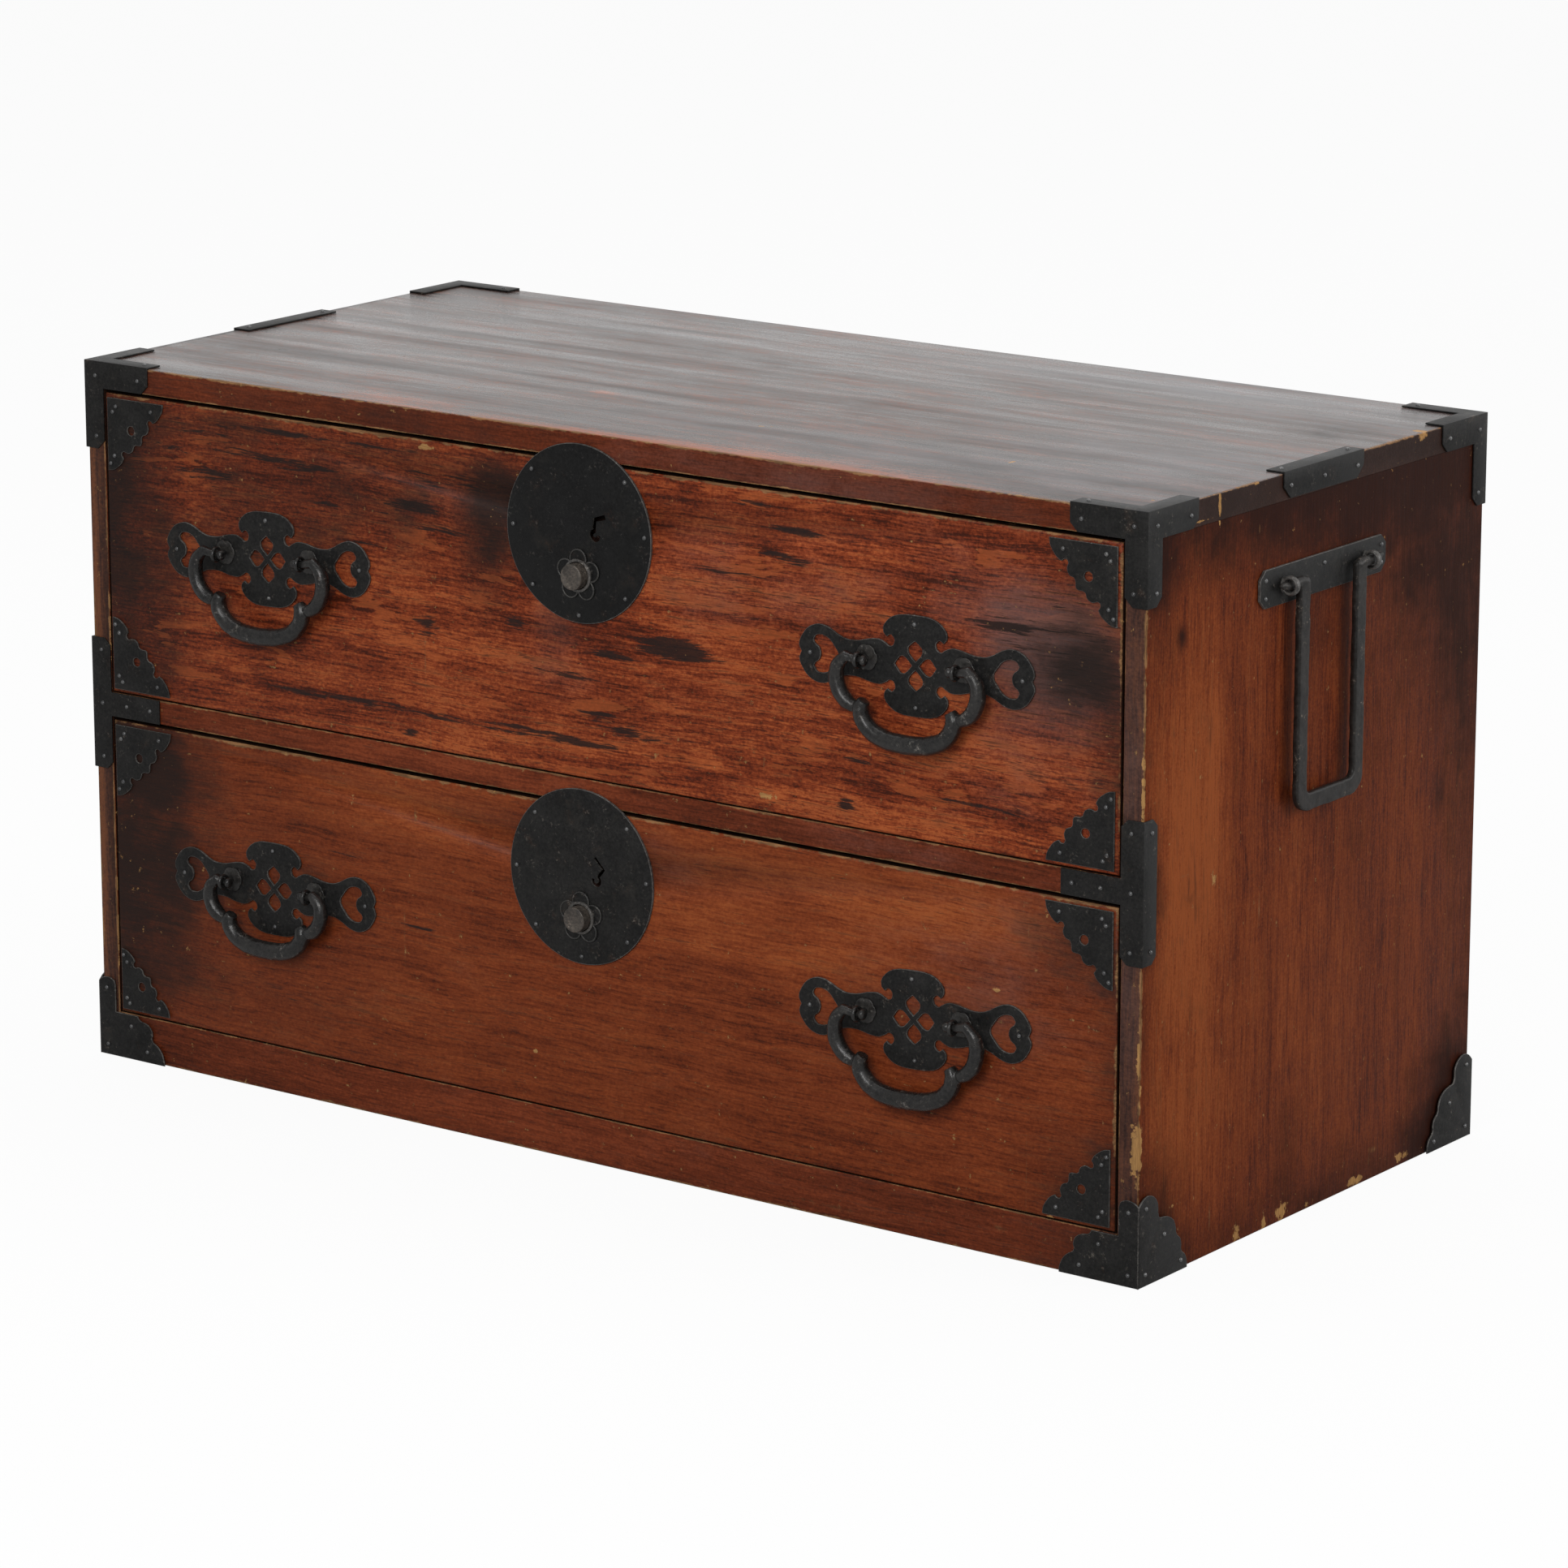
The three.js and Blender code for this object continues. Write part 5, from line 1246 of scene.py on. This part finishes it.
# Handle plates
# Sheet iron pierced with a cross of four petals and a crescent at each end. Two washers
# cut like flowers sit under the ring eyes, which are driven through the front and clenched.
plate_half = (93.5, 33.7)
plate_sheet = 1.6
plate_ease = 0.32
eye_place = (38.5, 1.8)
eye_reach = 11.5
drawer_eye = {
    "ring": (4.5, 1.15), "facets": (32, 14), "thick": 3.0, "post": (2.4, 0.4, 7.69), "post_facets": 20,
    "post_flat": (0.75, 1, 1, 1),
}
washer_radius = 8.8
washer_sheet = 1.2
washer_sink = 0.1
washer_ease = 0.45
washer_lobes = 6
washer_notch = 0.75
washer_steps = 60
handle_drop = 101.5
handle_x = {"left": -281.5, "right": 272.5}
handle_tilt = {"upper_left": 2, "upper_right": 1.3, "lower_left": 0.7, "lower_right": 2.7}
plate_lobe = [(0, 33.7), (11, 33.2), (19, 30.5), (24.6, 25), (25, 20), (22.5, 17.2)]
plate_notch = [(22.5, 17.2), (19.4, 19.0), (16.4, 16.2), (17.4, 12.4), (20.5, 11.2), (22.8, 12.6)]
plate_arm = [(22.8, 12.6), (28.5, 14.9), (36, 14.4), (46, 12.2), (55, 12.2), (62, 14.6)]
plate_end = [(62, 14.6), (70, 18.6), (78, 19.6), (86, 16.4), (91.4, 10.0), (93.3, 4.6), (91.4, 0)]
crescent_back = [(81.5, 8.8), (79, 12.2), (73.5, 12.6), (68.5, 10.4), (65, 6.6), (61.8, 2.4), (61.2, 0)]
crescent_tongue = [(81.5, 8.8), (80.4, 6.6), (77.6, 4.6), (76.2, 2.2), (75.8, 0)]
petal_side = [(2.7, 0), (7.6, 4.9), (11.4, 5.7), (14, 3.4), (16.6, 0)]
plate_nails = [(0.9, 0), (-0.9, 0), (0, 0.82), (0, -0.82)]


def plate_outline():
    """The whole outline, from one quarter of it mirrored both ways."""
    quarter = []
    for run in (plate_lobe, plate_notch, plate_arm, plate_end):
        quarter += smooth(run)[1 if quarter else 0:]
    middle = quarter[1:-1]
    return (
        quarter
        + [(x, -y) for x, y in reversed(middle)]
        + [(0, -quarter[0][1])]
        + [(-x, -y) for x, y in middle]
        + [(-quarter[-1][0], 0)]
        + [(-x, y) for x, y in reversed(middle)]
    )


def crescent(side):
    """The crescent hole at one end, bent round a tongue of iron."""
    back = smooth(crescent_back)
    tongue = smooth(crescent_tongue)
    loop = back + [(x, -y) for x, y in reversed(back[:-1])]
    loop += [(x, -y) for x, y in tongue[1:]] + list(reversed(tongue[1:-1]))
    return [(side * x, y) for x, y in loop]


def petal(turn):
    """One hole of the cross in the middle, turned by so many quarters."""
    half = smooth(petal_side, 4)
    corners = half + [(x, -y) for x, y in reversed(half[1:-1])]
    turned = Matrix.Rotation(turn * math.pi / 2, 2)
    return [tuple(turned @ Vector(corner)) for corner in corners]


def flower():
    """The outline of a washer with round lobes."""
    outline = []
    for i in range(washer_steps):
        turn = 2 * math.pi * i / washer_steps
        swell = abs(math.cos(washer_lobes * turn / 2)) ** 0.6
        reach = washer_radius - washer_notch + washer_notch * swell
        outline.append((reach * math.cos(turn), reach * math.sin(turn)))
    return outline


def ring_eye(place, x, y, height, eye, material):
    """A ring whose hole runs along the plate, on a post that reaches into the plate."""
    major, minor = eye["ring"]
    around, section = eye["facets"]
    bpy.ops.object.select_all(action="DESELECT")
    bpy.ops.mesh.primitive_torus_add(
        major_radius=major, minor_radius=minor, major_segments=around, minor_segments=section
    )
    ring = bpy.context.object
    turn = Matrix.Rotation(math.pi / 2, 4, "Y") @ Matrix.Diagonal((1, 1, eye["thick"] / 2 / minor, 1))
    ring.data.transform(place @ Matrix.Translation((x, y, height)) @ turn)
    bpy.ops.object.shade_smooth()
    post = drum("post", *eye["post"], facets=eye["post_facets"])
    post.data.transform(place @ Matrix.Translation((x, y, 0)) @ Matrix.Diagonal(eye["post_flat"]))
    join_pieces(ring, post)
    ring.data.materials.append(material)
    return ring


worn_iron = iron("worn_iron", (26, 25, 24), (66, 63, 60), (150, 146, 138), 0.36, 0.5, 0.25)


def handle_place(name, side, high):
    """The place of a handle on its drawer, with its own small tilt."""
    tilt = Matrix.Rotation(-math.radians(handle_tilt[name]), 4, "Y")
    middle = Vector((handle_x[side], front_seat, high - handle_drop)) * MM
    return Matrix.Translation(middle) @ tilt @ stand((0, 0, 0))


def handle_plate(name, place, body):
    """A pierced plate with its washers, eyes and nails."""
    node = name + "_handle_plate"
    loops = [plate_outline(), crescent(1), crescent(-1)] + [petal(turn) for turn in range(4)]
    piece = sheet(node + "_sheet", loops, plate_sheet, plate_ease, place)
    finish(piece, node, body, "black_iron", plate_iron, worn_lit_rim_iron)
    out = place.col[2].to_3d().normalized()
    two_irons(piece, out)
    across, y = eye_place
    for x in (-across, across):
        washer_place = place @ Matrix.Translation((x, y, plate_sheet - washer_sink))
        washer = sheet("washer", [flower()], washer_sheet, washer_ease, washer_place, 2)
        washer.data.materials.append(worn_iron)
        join_pieces(piece, washer, ring_eye(place, x, y, eye_reach, drawer_eye, forged_iron))
    spots = scaled(plate_nails, *plate_half)
    drive_nails(piece, [(place @ Vector((*spot, plate_sheet)), out) for spot in spots])


for drawer, (low, high) in drawer_heights.items():
    for side in handle_x:
        name = f"{drawer}_{side}"
        handle_plate(name, handle_place(name, side, high), drawer + "_drawer")

# Bails
# Forged round bar: a thin neck with a ball turns in each eye, an arm swells and curls back
# to a cusp, and the heavier bow starts there with a rounded shoulder.
bail_size = {
    "upper_left": (58.5, 56), "upper_right": (56, 53), "lower_left": (51.5, 45), "lower_right": (57, 55),
}
neck_radius = 2.8
ball_radius = 3.7
ball_reach = 4.6
neck_half = 2.3
bail_arm = [(0.86, 0.035), (0.975, -0.09), (1.0, -0.27), (0.95, -0.43), (0.86, -0.535), (0.75, -0.59)]
bail_arm_radii = [3.9, 4.8, 5.4, 5.5, 5.3, 4.4]
bail_bow = [(0.61, -0.5), (0.655, -0.6), (0.63, -0.735), (0.49, -0.885), (0.26, -0.965), (0, -0.985)]
bail_bow_radii = [4.2, 5.7, 6.0, 6.2, 6.4, 6.5]
bail_voxel = 0.75 * MM
bail_dent = 0.22 * MM
bail_dent_size = 5 * MM


def bail_halves(width, depth, side):
    """The stops of one arm and of one half of the bow."""
    eye = eye_place[0]
    tip = eye - neck_half - ball_reach
    arm = [
        (tip, 0, 1.9), (tip + 0.5, 0, 3.1), (tip + 1.5, 0, ball_radius), (tip + 3.1, 0, ball_radius),
        (tip + 4.1, 0, 3.2), (eye - neck_half, 0, neck_radius), (eye + neck_half, 0, neck_radius),
    ]
    run = smooth([(x * width, y * depth, r) for (x, y), r in zip(bail_arm, bail_arm_radii)], 6)
    first = Vector((eye + neck_half, 0, neck_radius))
    arm += [tuple(first.lerp(Vector(run[0]), 0.4)), *run]
    bow = smooth([(x * width, y * depth, r) for (x, y), r in zip(bail_bow, bail_bow_radii)], 6)
    return [[(side * x, y, 0, r) for x, y, r in stops] for stops in (arm, bow)]


def hammer(piece, dent, size):
    """Low dents all over, as a hammer leaves them."""
    normals = [corner.normal.copy() for corner in piece.data.vertices]
    for corner, normal in zip(piece.data.vertices, normals):
        corner.co += normal * solid_noise.noise(corner.co / size) * dent


def apply_modifier(piece, kind, **settings):
    """The piece with one modifier worked into its mesh."""
    modifier = piece.modifiers.new(kind.lower(), kind)
    for key, value in settings.items():
        setattr(modifier, key, value)
    select(piece)
    bpy.ops.object.modifier_apply(modifier=modifier.name)


def weld(piece, voxel, rounds=3):
    """Overlapping bars made into one skin."""
    apply_modifier(piece, "REMESH", mode="VOXEL", voxel_size=voxel)
    apply_modifier(piece, "SMOOTH", factor=0.5, iterations=rounds)


def bail(name, place, size):
    """A bail of a drawer: two arms and a bow, welded and hammered."""
    node = name + "_bail"
    at = place @ Matrix.Translation((0, eye_place[1], eye_reach))
    right_arm, right_bow = bail_halves(*size, 1)
    left_arm, left_bow = bail_halves(*size, -1)
    arms = [bar("arm", stops, at) for stops in (right_arm, left_arm)]
    piece = bar(node + "_forged", left_bow + right_bow[-2::-1], at)
    join_pieces(piece, *arms)
    weld(piece, bail_voxel)
    hammer(piece, bail_dent, bail_dent_size)
    bpy.ops.object.shade_smooth()
    finish(piece, node, node, "worn_iron", forged_iron)


for drawer, (low, high) in drawer_heights.items():
    for side in handle_x:
        name = f"{drawer}_{side}"
        bail(name, handle_place(name, side, high), bail_size[name])

# Carrying handles
# A plate with cut corners on each side carries two stout ring eyes. A flat hammered bar,
# bent to a U, hangs in them by its ends, which are drawn out thin and turned outwards.
carry_z = 437.5
carry_seat = 449.2
carry_half = (77.5, 12.75)
carry_cut = 6
carry_sheet = 2.4
carry_ease = 0.6
carry_eye_y = 50.5
carry_reach = 8.5
carry_eye_height = 8.3
carry_eye = {
    "ring": (5.3, 1.35), "facets": (36, 16), "thick": 5.0, "post": (3.1, 0.6, 4.0), "post_facets": 24,
    "post_flat": (1, 1.7, 1, 1),
}
carry_half_width = 41
carry_bar = (12, 5)
carry_bar_ease = 1.3
carry_drop = 155
carry_top = 2.9
carry_nook = 2
carry_bend = 14
carry_inner = 5
carry_arm = [(30, -2.5, 2.4), (33, -0.6, 3.4), (37, 0.8, 3.7), (42, 0.8, 3.6), (46, 0.2, 3.4),
             (50.5, 0, 3.1), (55, 0.4, 2.9), (59, 1.2, 2.4), (63, 2.0, 1.6)]
carry_voxel = 0.9 * MM
bend_steps = 8
plate_dent, plate_dent_size = 0.1 * MM, 9 * MM
carry_dents = [(0.35 * MM, 9 * MM), (0.14 * MM, 3 * MM)]


def carry_plate(side, word):
    """A plate with its two eyes and its nails."""
    node = word + "_carry_plate"
    x, z = carry_half
    cut = carry_cut
    outline = [(cut - x, -z), (x - cut, -z), (x, cut - z), (x, z - cut),
               (x - cut, z), (cut - x, z), (-x, z - cut), (-x, cut - z)]
    out = (side, 0, 0)
    place = stand((side * carry_seat, 0, carry_z), (0, 1, 0), (0, 0, 1), out)
    piece = sheet(node + "_sheet", [outline], carry_sheet, carry_ease, place, 2)
    hammer(piece, plate_dent, plate_dent_size)
    finish(piece, node, "case", "black_iron", plate_iron, worn_lit_rim_iron)
    two_irons(piece, out)
    for y in (-carry_eye_y, carry_eye_y):
        join_pieces(piece, ring_eye(place, y, 0, carry_eye_height, carry_eye, worn_lit_rim_iron))
    spots = [(0, cut), (x - cut, cut), (x - cut, -cut), (cut - x, cut), (cut - x, -cut)]
    drive_nails(piece, [(place @ Vector((*spot, carry_sheet)), out) for spot in spots])


def bend_round(x, z, radius, start, stop):
    """A quarter turn of the bar's edge, from one angle to another."""
    turns = [math.radians(start + (stop - start) * i / bend_steps) for i in range(bend_steps + 1)]
    return [(x + radius * math.cos(turn), z + radius * math.sin(turn)) for turn in turns]


bar_iron = iron(
    "bar_iron", (11, 10, 9), (44, 40, 37), (158, 144, 128), 0.44, 0.35, 0.15, rust=0.35, dust=0.1
)


def carry_bail(side, word):
    """A flat bar bent to a U, with round arms that turn in the eyes."""
    node = word + "_carry_bail"
    out, foot = carry_half_width, -carry_drop
    wide, thick = carry_bar
    inner, sill = out - wide, foot + wide
    rise, nook = carry_top, carry_nook
    bend, tight = carry_bend, carry_inner
    outline = [(-out, rise)]
    outline += bend_round(bend - out, foot + bend, bend, 180, 270)
    outline += bend_round(out - bend, foot + bend, bend, 270, 360)
    outline += [(out, rise), (inner + nook, rise), (inner, rise - nook)]
    outline += bend_round(inner - tight, sill + tight, tight, 0, -90)
    outline += bend_round(tight - inner, sill + tight, tight, -90, -180)
    outline += [(-inner, rise - nook), (-inner - nook, rise)]
    at = stand((side * (side_x + carry_reach), 0, carry_z), (0, 1, 0), (0, 0, 1), (side, 0, 0))
    middle = at @ Matrix.Translation((0, 0, -thick / 2))
    piece = sheet(node + "_forged", [outline], thick, carry_bar_ease, middle, 2)
    arms = [
        bar("arm", [(end * y, z, 0, radius) for y, z, radius in carry_arm], at) for end in (-1, 1)
    ]
    join_pieces(piece, *arms)
    weld(piece, carry_voxel, 2)
    for dent, dent_size in carry_dents:
        hammer(piece, dent, dent_size)
    bpy.ops.object.shade_smooth()
    finish(piece, node, node, "worn_iron", bar_iron)


for side, word in ((-1, "left"), (1, "right")):
    carry_plate(side, word)
    carry_bail(side, word)

# Size
# The boxes of the solids and of the dressed chest, kept so that they can be compared.
size = {"cad": cad_box, "visual": [list(corner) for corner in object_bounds()]}
